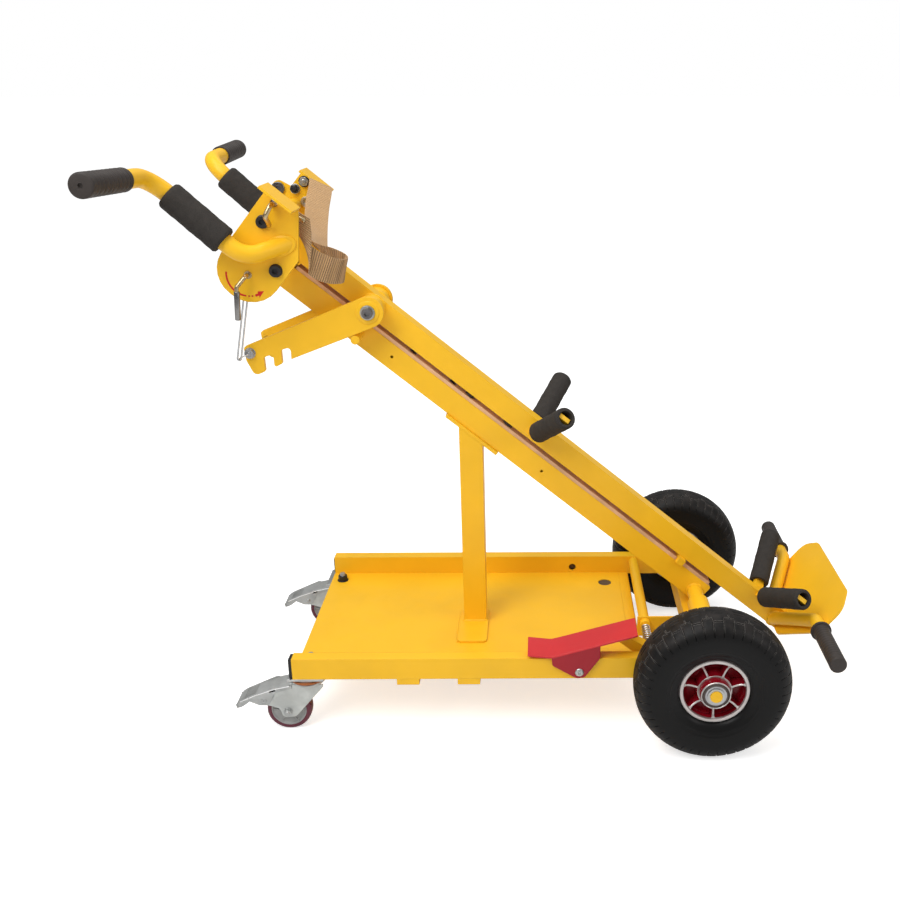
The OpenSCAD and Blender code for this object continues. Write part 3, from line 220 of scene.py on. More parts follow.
def plastic(name, color, rough=0.5, scale=300.0, strength=0.15, coat=0.0):
    """Moulded plastic or rubber with a fine grain."""
    m = Nodes(name, color, rough, coat=coat, shine=0.35)
    near_edge, soft = m.edge(0.0010)
    shade = m.mix(m.ramp(m.noise(22.0), 0.35, 0.65), toned(color, 0.88), toned(color, 1.12))
    shade = m.mix(m.math("MULTIPLY", near_edge, 0.25), shade, toned(color, 1.6, 0.01))
    m.to(shade, "Base Color")
    m.to(m.ramp(m.noise(60.0), 0.3, 0.7, rough - 0.06, rough + 0.08), "Roughness")
    m.bump(m.noise(scale, 3.0), strength, 0.0004, soft)
    return m.mat


def foam(name, color):
    """Matt foam with small pores."""
    m = Nodes(name, color, 0.88, shine=0.2)
    pores = m.ramp(m.cells(900.0), 0.05, 0.5)
    soft = m.noise(90.0, 3.0)
    shade = m.mix(pores, toned(color, 0.55), toned(color, 1.15))
    shade = m.mix(m.ramp(soft, 0.4, 0.65, 0.0, 0.35), shade, toned(color, 1.5))
    m.to(shade, "Base Color")
    m.bump(m.math("ADD", pores, m.math("MULTIPLY", soft, 0.6)), 0.35, 0.0006)
    return m.mat


def tyre_rubber():
    """Rubber that is dustier on the tread, by its distance from the axle, with a painted highlight along
    the tread's groove edges.
    """
    color = (0.0044, 0.0042, 0.0041)
    dust = (0.034, 0.027, 0.024)
    deep = (0.003, 0.003, 0.003)
    groove_edge_highlight = (0.24, 0.22, 0.20)
    m = Nodes("tyre_rubber", color, 0.5, shine=0.2)
    x, y, z = m.split(m.coords)
    x = m.math("ADD", x, MIDDLE_X)
    z = m.math("SUBTRACT", z, WHEEL_Z * MM)
    r = m.math("SQRT", m.math("ADD", m.math("MULTIPLY", x, x), m.math("MULTIPLY", z, z)))
    worn = m.ramp(r, 0.108, 0.127)
    dusty = m.math("MULTIPLY", worn, m.ramp(m.noise(55.0, 5.0), 0.35, 0.75))
    shade = m.mix(m.math("MULTIPLY", dusty, 0.8), color, dust)
    shade = m.mix(m.ramp(m.noise(14.0), 0.4, 0.7, 0.0, 0.3), shade, deep)
    # Painted highlight: the tread's sharp groove edges are lightened towards a pale grey, as if they
    # caught the light.
    near_edge, soft = m.edge(0.0013)
    highlight_mask = m.math("MULTIPLY", near_edge, m.ramp(r, 0.112, 0.122))
    shade = m.mix(highlight_mask, shade, groove_edge_highlight)
    m.to(shade, "Base Color")
    m.to(m.ramp(r, 0.09, 0.128, 0.38, 0.5), "Roughness")
    m.bump(m.noise(500.0), 0.25, 0.0005, soft)
    return m.mat


def webbing():
    """Flat webbing: u runs across it and v along it, both in metres. Its rib troughs carry painted shade
    and its crests a painted highlight.
    """
    color = (0.50, 0.305, 0.145)
    aged = (0.36, 0.21, 0.09)
    m = Nodes("webbing", color, 0.78, shine=0.25)
    u, v, w = m.split(m.new("ShaderNodeUVMap").outputs["UV"])
    rib = m.wave("COSINE", v, 0.0036)
    warp = m.wave("SINE", u, 0.0016)
    slant = m.wave("SINE", m.math("ADD", u, v), 0.0022)
    height = m.math("ADD", rib, m.math("MULTIPLY", warp, 0.03))
    height = m.math("ADD", height, m.math("MULTIPLY", slant, 0.02))
    # Painted shade in the rib troughs and painted highlight on their crests, at full strength up to 0.165
    # m along the strap, fading to 0.3 of it by 0.205 m.
    deep = m.ramp(v, 0.165, 0.205, 1.0, 0.3)
    shade = m.mix(m.ramp(height, -1.0, 0.7), toned(color, 0.42), toned(color, 1.22))
    shade = m.mix(deep, color, shade)
    shade = m.mix(m.ramp(m.noise(38.0), 0.35, 0.7, 0.0, 0.35), shade, aged)
    m.to(shade, "Base Color")
    m.set("Sheen Weight", 0.25)
    m.set("Sheen Roughness", 0.5)
    m.bump(height, 0.5, 0.0006)
    return m.mat


YELLOW = paint("yellow_paint", (0.93, 0.52, 0.016))
RED = paint("red_paint", (0.60, 0.028, 0.034))
# A darker copy of the red paint: painted shade for the side of the pedal's ear.
RED_PAINTED_SHADE = paint("red_painted_shade", (0.36, 0.012, 0.022))
RIM_RED = paint("rim_red", (0.26, 0.004, 0.012), 0.26)
RIM_EDGE = metal("rim_edge", (0.60, 0.56, 0.54), 0.36, strength=0.05, metallic=0.9)
DARK_STEEL = metal("dark_steel", (0.20, 0.19, 0.19), 0.3, strength=0.06)
SEAL = plastic("hub_seal", (0.085, 0.064, 0.056), 0.46)
ZINC = metal("zinc", (0.50, 0.51, 0.50), 0.34, strength=0.08)
SHEET_ZINC = metal("sheet_zinc", (0.56, 0.58, 0.56), 0.42, 200.0, 0.12, 0.75, 0.14)
PAD_ZINC = metal("pad_zinc", (0.46, 0.47, 0.46), 0.5, 160.0, 0.2, 0.7, 0.14)
# Near-white metal for thin lines of painted highlight along the brake pedal's side flanges.
EDGE_HIGHLIGHT = metal("painted_edge_highlight", (0.92, 0.92, 0.91), 0.3, strength=0.02, metallic=0.4)
CHROME = metal("chrome", (0.60, 0.60, 0.60), 0.18, strength=0.02)
BRASSY = metal("brassy_zinc", (0.56, 0.44, 0.26), 0.24, strength=0.05)
STEEL = metal("steel", (0.45, 0.45, 0.46), 0.34, strength=0.05)
BLACK_OXIDE = metal("black_oxide", (0.035, 0.035, 0.038), 0.38, strength=0.05, metallic=0.6)
TYRE = tyre_rubber()
GRIP = plastic("grip_rubber", (0.040, 0.032, 0.028), 0.52, 380.0, 0.2)
FOAM = foam("foam", (0.034, 0.030, 0.027))
BLACK_PLASTIC = plastic("black_plastic", (0.014, 0.014, 0.014))
GREY_PLASTIC = plastic("grey_plastic", (0.36, 0.36, 0.35), 0.45)
MAROON = plastic("maroon_polyurethane", (0.115, 0.010, 0.028), 0.3, 200.0, 0.05, coat=0.4)
ORANGE = plastic("orange_plastic", (0.40, 0.125, 0.035), 0.4)
STRIP = plastic("brown_strip", (0.70, 0.41, 0.22), 0.62, 240.0, 0.2)
SLEEVE = metal("dark_sleeve", (0.30, 0.29, 0.28), 0.2, strength=0.03)
# Dark brown for discs that stand for the shade inside two holes: painted shade.
HOLE_SHADE = plastic("painted_hole_shade", (0.085, 0.060, 0.034), 0.55)
MARK = paint("mark_red", (0.66, 0.02, 0.015), 0.45)
WEB = webbing()

LOOKS = {
    "yellow_paint": YELLOW,
    "red_paint": RED,
    "red_rim": RIM_RED,
    "tyre": TYRE,
    "black_rubber": GRIP,
    "black_foam": FOAM,
    "black_plastic": BLACK_PLASTIC,
    "grey_plastic": GREY_PLASTIC,
    "orange_plastic": ORANGE,
    "maroon_polyurethane": MAROON,
    "zinc": ZINC,
    "brassy_zinc": BRASSY,
    "steel": STEEL,
    "black_oxide": BLACK_OXIDE,
    "dark_sleeve": SLEEVE,
    "brown_strip": STRIP,
    "webbing": WEB,
}

SLOT_OF = {row["node"]: row["material_slot"] for row in frame["record"]["subparts"]}
for node_name, node_object in nodes.items():
    node_object.data.materials.clear()
    node_object.data.materials.append(LOOKS[SLOT_OF[node_name]])


# Mesh building


def piece(name, verts, faces, body, mats, replaces=(), face_mats=(), smooth=40, uvs=()):
    """Makes a mesh piece that rides on a body."""
    mesh = bpy.data.meshes.new(name)
    mesh.from_pydata(verts, [], faces)
    mesh.validate()
    for mat in mats if isinstance(mats, list) else [mats]:
        mesh.materials.append(mat)
    for polygon, index in zip(mesh.polygons, face_mats):
        polygon.material_index = index
    if uvs:
        layer = mesh.uv_layers.new(name="UVMap")
        for loop in mesh.loops:
            layer.data[loop.index].uv = uvs[loop.vertex_index]
    mesh.shade_smooth()
    mesh.set_sharp_from_angle(angle=math.radians(smooth))
    obj = bpy.data.objects.new(name, mesh)
    bpy.context.scene.collection.objects.link(obj)
    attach(obj, body)
    if replaces:
        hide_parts(*replaces)
    return obj


class Build:
    """Collects several shapes into one mesh."""

    def __init__(self):
        self.verts = []
        self.faces = []
        self.mats = []

    def add(self, shape, matrix, mat=0, flip=False):
        """Adds a shape, which is a pair of points in metres and faces."""
        verts, faces = shape
        base = len(self.verts)
        self.verts += [matrix @ v for v in verts]
        for face in faces:
            face = [base + i for i in face]
            self.faces.append(face[::-1] if flip else face)
            self.mats.append(mat)

    def lathe(self, pairs, matrix, mat, sides, closed=False, out=1, flip=False):
        """Adds (radius, height) pairs in millimetres revolved about Z; out = -1 turns them over."""
        self.add(lathe(scaled(pairs, out), sides, closed), matrix, mat, flip)

    def pin(self, radius, low, high, matrix, mat=0):
        """Adds the shank of a bolt or pin along Z, in millimetres."""
        self.lathe([(radius, low), (radius, high)], matrix, mat, 24)

    def prism(self, outline, low, high, matrix, mat=0):
        """Adds a plate with an outline in X and Z, in millimetres."""
        self.add(prism(scaled(outline), low * MM, high * MM), matrix, mat)

    def tube(self, line, radii, matrix, mat, sides, ends=True, flip=False):
        """Adds a round skin along a line, with one radius or a list of them, in metres."""
        self.add(round_skin(line, radii, sides, ends), matrix, mat, flip)

    def flipped(self):
        """The mirror image across the middle plane."""
        other = Build()
        other.verts = [Vector((v.x, -v.y, v.z)) for v in self.verts]
        other.faces = [face[::-1] for face in self.faces]
        other.mats = list(self.mats)
        return other

    def mirrored(self):
        """The shape together with its mirror image."""
        other = self.flipped()
        base = len(self.verts)
        self.verts += other.verts
        self.faces += [[base + i for i in face] for face in other.faces]
        self.mats += other.mats
        return self

    def make(self, name, body, mats, slot, replaces=(), smooth=40, bevel=0.0, segments=2):
        obj = piece(name, self.verts, self.faces, body, mats, replaces, self.mats, smooth)
        if bevel:
            change = obj.modifiers.new("bevel", "BEVEL")
            change.width = bevel
            change.segments = segments
            change.limit_method = "ANGLE"
            change.angle_limit = math.radians(30)
            change.harden_normals = True
        return obj


def scaled(pairs, out=1):
    """Pairs in millimetres as metres, the second of each turned over for out = -1."""
    return [(a * MM, b * MM * out) for a, b in pairs]


def angles(count):
    return [2 * math.pi * k / count for k in range(count)]


def circle(radius, sides):
    return [(radius * math.cos(a), radius * math.sin(a)) for a in angles(sides)]


def skin(rows, size, inward=False):
    """Faces between closed rings of points that follow one another."""
    faces = []
    for row in range(rows - 1):
        a = row * size
        b = a + size
        for k in range(size):
            n = (k + 1) % size
            face = [a + k, a + n, b + n, b + k]
            faces.append([face[i] for i in (0, 3, 2, 1)] if inward else face)
    return faces


def lid(row, size, back=False):
    """One face over a ring of points."""
    face = [row * size + k for k in range(size)]
    return face[::-1] if back else face


def sweep(points, sections, closed_ends=True, across=(0.1, 0.2, 1)):
    """Skin of 2-D sections along a line, carried on without a twist."""
    count = len(points)
    tangents = []
    for i in range(count):
        low, high = max(i - 1, 0), min(i + 1, count - 1)
        while (points[high] - points[low]).length < 1e-7 and (low > 0 or high < count - 1):
            low, high = max(low - 1, 0), min(high + 1, count - 1)
        tangents.append((points[high] - points[low]).normalized())
    side = Vector(across)
    verts = []
    for i in range(count):
        side = (side - tangents[i] * side.dot(tangents[i])).normalized()
        up = tangents[i].cross(side)
        verts += [points[i] + side * a + up * b for a, b in sections[i]]
    size = len(sections[0])
    faces = skin(count, size)
    if closed_ends:
        faces += [lid(0, size, True), lid(count - 1, size)]
    return verts, faces


def round_skin(line, radii, sides, ends=True, across=(0.1, 0.2, 1)):
    """Round skin along a line, with one radius or one for each point."""
    if isinstance(radii, float):
        radii = [radii] * len(line)
    return sweep(line, [circle(r, sides) for r in radii], ends, across)


def corner_arc(a, b, c, radius, steps):
    """Points of the arc that rounds the corner at b, between a and c."""
    u = (b - a).normalized()
    v = (c - b).normalized()
    w = (v - u * v.dot(u)).normalized()
    turn = u.angle(v)
    centre = b - u * radius * math.tan(turn / 2) + w * radius
    turns = [turn * k / steps for k in range(steps + 1)]
    return [centre - w * radius * math.cos(t) + u * radius * math.sin(t) for t in turns]


def bent(points, bend, steps=10):
    """Line in metres through points, its corners bent to a radius, both in millimetres."""
    points = [Vector(p) * MM for p in points]
    line = [points[0]]
    for a, b, c in zip(points, points[1:], points[2:]):
        line += corner_arc(a, b, c, bend * MM, steps)
    return line + [points[-1]]


def rounded(points, radii, steps=6):
    """Outline with each corner rounded by its own radius."""
    points = [Vector(p) for p in points]
    out = []
    for a, b, c, radius in zip(points[-1:] + points, points, points[1:] + points[:1], radii):
        out += corner_arc(a, b, c, radius, steps) if radius else [b]
    return out


def round_bar(points, radius, sides):
    """Bar with slightly rounded ends."""
    first = (points[1] - points[0]).normalized()
    last = (points[-1] - points[-2]).normalized()
    lip = radius * 0.3
    line = [points[0], points[0] + first * lip * 0.3, points[0] + first * lip]
    line += points[1:-1]
    line += [points[-1] - last * lip, points[-1] - last * lip * 0.3, points[-1]]
    start = [radius - lip, radius - lip * 0.3, radius]
    return round_skin(line, start + [radius] * (len(points) - 2) + start[::-1], sides)


def lathe(profile, segments, closed=False):
    """Revolves (radius, height) pairs about Z. A radius of 0 ends in one point."""
    verts = []
    faces = []
    rows = []
    for radius, height in profile:
        first = len(verts)
        if radius < 1e-9:
            verts.append(Vector((0, 0, height)))
        else:
            verts += [Vector((x, y, height)) for x, y in circle(radius, segments)]
        rows.append(range(first, len(verts)))
    pairs = list(zip(rows, rows[1:]))
    if closed:
        pairs.append((rows[-1], rows[0]))
    for a, b in pairs:
        if len(a) == 1 and len(b) == 1:
            continue
        for k in range(segments):
            n = (k + 1) % segments
            if len(a) == 1:
                faces.append([a[0], b[n], b[k]])
            elif len(b) == 1:
                faces.append([a[k], a[n], b[0]])
            else:
                faces.append([a[k], a[n], b[n], b[k]])
    return verts, faces


def walls(n):
    """Faces of the sides between an outline of n points and its copy."""
    return [[k, n + k, n + (k + 1) % n, (k + 1) % n] for k in range(n)]


def prism(outline, low, high):
    """Solid with an outline in X and Z between two places along Y."""
    area = sum(a[0] * b[1] - b[0] * a[1] for a, b in zip(outline, outline[1:] + outline[:1]))
    if area < 0:
        outline = outline[::-1]
    n = len(outline)
    verts = [Vector((x, y, z)) for y in (low, high) for x, z in outline]
    return verts, [lid(0, n), lid(1, n, True)] + walls(n)


def along_y(x, y, z, turn=0.0, out=-1):
    """Frame whose +Z points out along Y, at a place."""
    return moved(x, y, z) @ turned(-90 * out, "X") @ turned(turn, "Z")


def ring_points(centre, radius, count, side, up):
    return [centre + side * radius * math.cos(a) + up * radius * math.sin(a) for a in angles(count)]


def slide_to(points, direction, y):
    """Moves points along a direction to a plane square to Y."""
    for p in points:
        p += direction * ((y - p.y) / direction.y)


def turned_line(start, direction, length, steps, radius_at):
    """Points along a straight line and the radius at each, in metres."""
    places = [length * i / steps for i in range(steps + 1)]
    return [(start + direction * s) * MM for s in places], [radius_at(s) * MM for s in places]


# Fasteners and beads


def hexagon(radius, sides):
    """Distances from the middle of a hexagon to its outline."""
    ways_off = [(a + math.pi / 6) % (math.pi / 3) - math.pi / 6 for a in angles(sides)]
    return [radius * math.cos(math.pi / 6) / math.cos(way_off) for way_off in ways_off]


def level_ring(reaches, height):
    """Ring of points about Z, each at its own distance."""
    pairs = zip(reaches, angles(len(reaches)))
    return [mm(reach * math.cos(a), reach * math.sin(a), height) for reach, a in pairs]


def socket_head(build, matrix, radius, height, mat=0):
    """Cap screw head with a hexagonal socket, standing on Z = 0."""
    sides = 36
    socket = radius * 0.52
    lip = socket * 1.18
    profile = [(radius * 0.98, 0), (radius, height * 0.05), (radius, height * 0.86)]
    profile += [(radius * 0.93, height), (lip, height)]
    build.lathe(profile, matrix, mat, sides)
    inside = hexagon(socket, sides)
    verts = level_ring([lip] * sides, height)
    verts += level_ring(inside, height * 0.97) + level_ring(inside, height * 0.35)
    build.add((verts, skin(3, sides) + [lid(2, sides)]), matrix, mat)


def button_head(build, matrix, radius, height, mat=0):
    """Domed screw head with a socket."""
    dome = [math.radians(90 * k / 8) for k in range(7)]
    profile = [(radius * math.cos(t), height * math.sin(t)) for t in dome]
    socket = radius * 0.34
    profile += [(socket, height * 0.96), (socket, height * 0.3), (0, height * 0.3)]
    build.lathe(profile, matrix, mat, 36)


def hex_nut(build, matrix, radius, height, mat=0, bore=None, stands=1.5):
    """Hexagon with chamfered corners, and a bolt end that stands out of its bore."""
    sides = 48
    verts = []
    for level, limit in ((0, 0.97), (0.08, 1.0), (0.84, 1.0), (1.0, 0.9)):
        reaches = [min(reach, limit * radius) for reach in hexagon(radius, sides)]
        verts += level_ring(reaches, height * level)
    build.add((verts, skin(4, sides) + [lid(0, sides, True), lid(3, sides)]), matrix, mat)
    if bore:
        end = height + stands
        profile = [(bore, height * 0.9), (bore, end - bore * 0.25), (bore * 0.8, end), (0, end)]
        build.lathe(profile, matrix, mat, 32)


def washer(build, matrix, radius, thick, mat=0):
    """Adds a washer and gives the frame of its upper face."""
    profile = [(radius * 0.5, 0), (radius * 0.96, 0), (radius, thick * 0.3)]
    profile += [(radius, thick * 0.7), (radius * 0.96, thick), (radius * 0.5, thick)]
    build.lathe(profile, matrix, mat, 40, True)
    return matrix @ moved(0, 0, thick)


def bead(build, points, radius, matrix, closed=False, ripple=1.0):
    """Weld bead: a fat line with ripples, through points in millimetres."""
    points = [Vector(p) * MM for p in points]
    if closed:
        points.append(points[0])
    line = []
    for a, b in zip(points, points[1:]):
        steps = max(1, int((b - a).length / 0.0011))
        line += [a.lerp(b, k / steps) for k in range(steps)]
    line.append(points[-1])
    radii = []
    for i in range(len(line)):
        wave = 1 + ripple * (0.12 * math.sin(i * 1.9) + 0.05 * math.sin(i * 0.7))
        end = min(i, len(line) - 1 - i)
        taper = 1.0 if closed else min(1.0, 0.4 + end * 0.2)
        radii.append(radius * MM * wave * taper)
    build.tube(line, radii, matrix, 0, 10)


# Main wheels


TYRE_CENTRE, TYRE_DEPTH = 93, 37
TREAD_BLOCKS = 46
TREAD_FROM = 0.094
TYRE_HALF = 0.0425
INNER_LINE, OUTER_LINE = 0.0165, 0.0235
SHOULDER = 0.0412
ZIG = 0.0045
GROOVE_HALF, GROOVE_DEPTH = 0.0011, 0.0018


def tyre_groove(theta, y):
    """Depth of the tread pattern in metres at an angle and a place across."""
    cell = 2 * math.pi / TREAD_BLOCKS
    index = math.floor(theta / cell)
    place = theta / cell - index
    even = index % 2 == 0
    side = abs(y)
    zig = ZIG if (index + (y > 0)) % 2 == 0 else -ZIG
    ways_off = [abs(side - (INNER_LINE if even else OUTER_LINE)), abs(y - zig)]
    if INNER_LINE < side < SHOULDER:
        ways_off.append(min(place, 1 - place) * cell * 0.122)
    if even and ZIG < side < INNER_LINE:
        ways_off.append(abs(place - 0.5) * cell * 0.125)
    depth = max(0.0, 1 - min(ways_off) / GROOVE_HALF)
    return min(1.0, depth * 1.6) * GROOVE_DEPTH


def tyre_relief(theta, r, y):
    """How deep the tyre's pattern is at a point, and the direction inwards."""
    side = math.copysign(1, y)
    if r > TREAD_FROM:
        fade = min(1.0, (r - TREAD_FROM) / 0.012)
        flat = min(1.0, (abs(y) / TYRE_HALF) ** 2)
        inward = Vector((-(1 - flat) - 0.35, -side * flat)).normalized()
        return tyre_groove(theta, y) * fade, inward
    raised = 0.0
    if abs(y) > 0.03:
        for radius, half, high in ((0.0745, 0.0014, 0.0007), (0.0800, 0.0009, 0.00042)):
            raised += high * max(0.0, 1 - abs(r - radius) / half)
    return -raised, Vector((0, -side))


def tyre_profile():
    """Section of the tyre: (radius, place across) in metres, bead to bead."""
    steps = 150
    arc = []
    for k in range(steps + 1):
        a = math.radians(-122 + 244 * k / steps)
        c, s = math.cos(a), math.sin(a)
        radius = TYRE_CENTRE + TYRE_DEPTH * math.copysign(abs(c) ** 0.8, c)
        arc.append((radius * MM, TYRE_HALF * math.copysign(abs(s) ** 0.8, s)))
    foot = scaled([(56.2, 26.8), (58.1, 27.2), (58.4, 28.8), (59.8, 31.2), (62.4, 33.6), (66.4, 35.8)])
    return [(r, -y) for r, y in foot] + arc + foot[::-1]


def tyre_mesh(sign):
    """Tyre with its tread pattern, whole round the wheel."""
    profile = tyre_profile()
    centre = CART @ mm(0, sign * WHEEL_Y, WHEEL_Z)
    around = 736
    verts = []
    for theta in angles(around):
        for r, y in profile:
            depth, inward = tyre_relief(theta, r, y)
            r += inward.x * depth
            y += inward.y * depth
            verts.append(centre + Vector((r * math.cos(theta), y, r * math.sin(theta))))
    count = len(profile)
    faces = []
    for i in range(around):
        n = (i + 1) % around
        for k in range(count):
            m = (k + 1) % count
            faces.append([i * count + k, n * count + k, n * count + m, i * count + m])
    return verts, faces


RIM_HALF = [
    (50.6, 14), (50.6, 25.6), (51.0, 27.6), (52.0, 29.1), (55.8, 29.5),
    (57.3, 29.0), (57.9, 27.9), (56.6, 27.1), (56.0, 14),
]
BOWL_HALF = [
    (50.6, 16), (49.0, 9), (45.4, 5.5), (40.0, 4.0), (31.4, 4.0), (30.0, 9.0), (29.0, 23.0), (28.6, 26.4),
]
HUB_HALF = [
    (28.6, 26.4), (28.0, 27.3), (26.6, 27.4), (25.2, 26.6), (25.0, 37.6), (24.7, 39.6), (23.9, 40.7),
    (22.9, 40.7), (22.3, 39.9), (22.1, 38.9), (20.4, 39.1), (19.4, 40.7), (16.4, 40.9), (15.2, 40.2),
]
SPOKES = 7
SPOKE_STEPS = 12


def spoke(build, matrix, out):
    """One rib of the rim from hub to ring, its top edges bright."""
    verts = []
    for k in range(SPOKE_STEPS + 1):
        t = k / SPOKE_STEPS
        r = 26.0 + 25.0 * t
        root = max(0.0, (0.16 - t) / 0.16)
        tip = max(0.0, (t - 0.84) / 0.16)
        half = 1.7 + 2.6 * root ** 2 + 2.4 * tip ** 2
        top = 27.6 - 3.4 * math.sin(math.pi * min(1.0, t * 1.05)) ** 0.8 - 0.4 * t
        left = [(-half - 0.6, 4.0), (-half, top - 0.7), (-half + 0.6, top)]
        for w, z in left + [(-w, z) for w, z in left[::-1]]:
            verts.append(mm(r, w, z * out))
    for k in range(SPOKE_STEPS):
        for e in range(5):
            a = k * 6 + e
            build.add((verts, [[a, a + 6, a + 7, a + 1]]), matrix, 1 if e in (1, 2, 3) else 0, out < 0)


def rim_mesh(sign):
    """Spoked rim: material 0 is red, 1 the bright edges, 2 dark seals."""
    build = Build()
    place = CART @ along_y(0, sign * WHEEL_Y, WHEEL_Z)
    for out in (1, -1):
        for part, mat in ((RIM_HALF[:2], 0), (RIM_HALF[1:7], 1), (RIM_HALF[6:], 0), (BOWL_HALF, 0)):
            build.lathe(part, place, mat, 96, out=out, flip=out > 0)
        for part, mat in ((HUB_HALF[:4], 1), (HUB_HALF[3:6], 0), (HUB_HALF[5:9], 1), (HUB_HALF[8:], 2)):
            build.lathe(part, place, mat, 72, out=out, flip=out > 0)
        for s in range(SPOKES):
            spoke(build, place @ turned(360 * s / SPOKES - 90, "Z"), out)
    return build


for side, sign in SIDES:
    verts, faces = tyre_mesh(sign)
    piece(f"{side}_tyre_tread", verts, faces, f"{side}_wheel", TYRE, [f"{side}_tyre"], smooth=50)
    rim = rim_mesh(sign)
    rim_looks = [RIM_RED, RIM_EDGE, SEAL]
    rim.make(f"{side}_rim_spokes", f"{side}_wheel", rim_looks, "red_rim", [f"{side}_rim"], smooth=45)


# Casters, made for the near side


CASTER_X, CASTER_Y = -681, -176
ROLLER_X, ROLLER_Z = -717, 38.5
BRAKE_X, BRAKE_Z = -756, 62
CASTER = CART @ moved(CASTER_X, CASTER_Y, 0)
ROLLER = CART @ along_y(ROLLER_X, CASTER_Y, ROLLER_Z)

FORK_CHEEK = rounded(
    [
        (27.5, 91.7), (27, 87), (-23, 28.5), (-45, 26.5), (-49.5, 44), (-62, 49), (-70, 51),
        (-87, 55), (-84, 68.5), (-60, 76.5), (-46, 81.5), (-34, 85.5), (-29, 91.7),
    ],
    [0, 4, 9, 8, 8, 4, 4, 5, 5, 10, 6, 4, 0],
)
FORK_CROWN = [
    (6.2, 97.6), (20, 97.6), (24.5, 97.2), (27.6, 95.4), (28.2, 92.6),
    (27.4, 91.2), (25.6, 91.6), (24, 93.6), (20, 94.4), (6.2, 94.4),
]
FORK_BRIDGE = [(-31, 91.8), (-31, 93.8), (-22, 95.6), (-10, 95.8), (-10, 92.6), (-24, 92.0)]
FORK_HALF = 17.5


def caster_fork():
    """Two cheeks, the round crown and the bridge between them."""
    fork = Build()
    for low, high in ((-FORK_HALF, -15.0), (15.0, FORK_HALF)):
        fork.prism(FORK_CHEEK, low, high, CASTER)
    fork.lathe(FORK_CROWN, CASTER, 0, 72, True, flip=True)
    fork.prism(FORK_BRIDGE, -FORK_HALF, FORK_HALF, CASTER)
    return fork


def caster_pins():
    """Axle with its washers and nuts, and the pin of the brake."""
    pins = Build()
    for out, bore in ((-1, 3.8), (1, 3.4)):
        spot = CART @ along_y(ROLLER_X, CASTER_Y + out * FORK_HALF, ROLLER_Z, 0, out)
        top = washer(pins, spot, 8.2, 1.2)
        hex_nut(pins, top @ turned(20.05, "Z"), 6.6, 4.4, 0, bore, 1.3)
        spot = CART @ along_y(BRAKE_X, CASTER_Y + out * 20.3, BRAKE_Z, 0, out)
        button_head(pins, spot, 4.2, 1.6)
    pins.pin(3.9, -FORK_HALF, FORK_HALF, ROLLER)
    pins.pin(2.9, -20.4, 20.4, CART @ along_y(BRAKE_X, CASTER_Y, BRAKE_Z))
    return pins


TREAD_HALF = [(30.1, -11.4), (33.2, -12.0), (35.6, -11.6), (37.3, -9.8), (38.2, -6.5), (38.5, -2.5)]
CORE_HALF = [
    (30.0, 0), (30.0, 11.3), (28.6, 11.5), (27.6, 9.6), (26.0, 8.8), (17.0, 8.2),
    (13.6, 9.4), (12.4, 13.2), (11.0, 14.4), (8.0, 14.5), (4.2, 14.5),
]


def caster_tread():
    """Soft ring round the caster's wheel."""
    tread = Build()
    tread.lathe(TREAD_HALF + [(r, -z) for r, z in TREAD_HALF[::-1]], ROLLER, 0, 96, True)
    return tread


def caster_core():
    """Wheel disc with six low ribs on each face."""
    core = Build()
    ribs = 6
    shape = [(12.6, -1.0), (27.4, -0.8), (27.4, 0.8), (12.6, 1.0)]
    for out in (1, -1):
        core.lathe(CORE_HALF, ROLLER, 0, 72, out=out, flip=out < 0)
        verts = [mm(x, y, 8.0 * out) for x, y in shape]
        verts += [mm(x, y, (11.6 if x < 20 else 9.9) * out) for x, y in shape]
        faces = [[4, 5, 6, 7], [0, 1, 5, 4], [1, 2, 6, 5], [2, 3, 7, 6], [3, 0, 4, 7]]
        for s in range(ribs):
            core.add((verts, faces), ROLLER @ turned(360 * s / ribs, "Z"), 0, out < 0)
    return core


# Top line of the brake pedal: x, z and half its width
BRAKE_TOP = [
    (-30, 90.6, 20.2), (-44, 88.0, 20.2), (-56, 84.9, 20.2), (-66, 82.0, 20.2), (-67.2, 80.9, 19.5),
    (-78, 77.6, 19.5), (-90, 72.8, 19.4), (-100, 68.4, 19.3), (-109, 64.0, 19.3), (-116, 60.8, 19.2),
    (-120.2, 58.0, 19.2), (-121.4, 54.4, 19.1), (-119.6, 47.6, 19.0),
]
BRAKE_CHEEK = rounded(
    [(-60, 86), (-84, 75.2), (-99, 68), (-103, 62), (-83, 53), (-67, 53), (-56, 76), (-54, 86)],
    [2, 6, 3, 5, 8, 8, 8, 2],
)
BRAKE_SKIRT = [
    (-26, 90.3), (-30, 90.2), (-56, 84.3), (-66, 81.2), (-78, 77.0), (-100, 67.6),
    (-115.6, 60.2), (-119.6, 57), (-120.4, 54), (-118.6, 48.4), (-111, 51.6),
    (-100, 60.2), (-88, 66.8), (-77, 71.4), (-54, 77.8), (-30, 84.4), (-26, 85.4),
]
# Line of the painted highlight along each side flange of the brake pedal: x and z
BRAKE_HIGHLIGHT_LINE = [(-30, 89.9), (-56, 84.2), (-67, 80.3), (-90, 72.0), (-108, 63.7), (-116, 60.0)]


def brake_section(half, depth):
    """Channel section of the pedal's top: (across, along its normal)."""
    inner = half - 1.8
    left = [(-half, -depth), (-half, -1.6), (-half + 0.5, -0.4), (-inner, 0)]
    right = [(-w, d) for w, d in left[::-1]]
    return left + right + [(inner, -depth), (inner, -2.0), (-inner, -2.0), (-inner, -depth)]


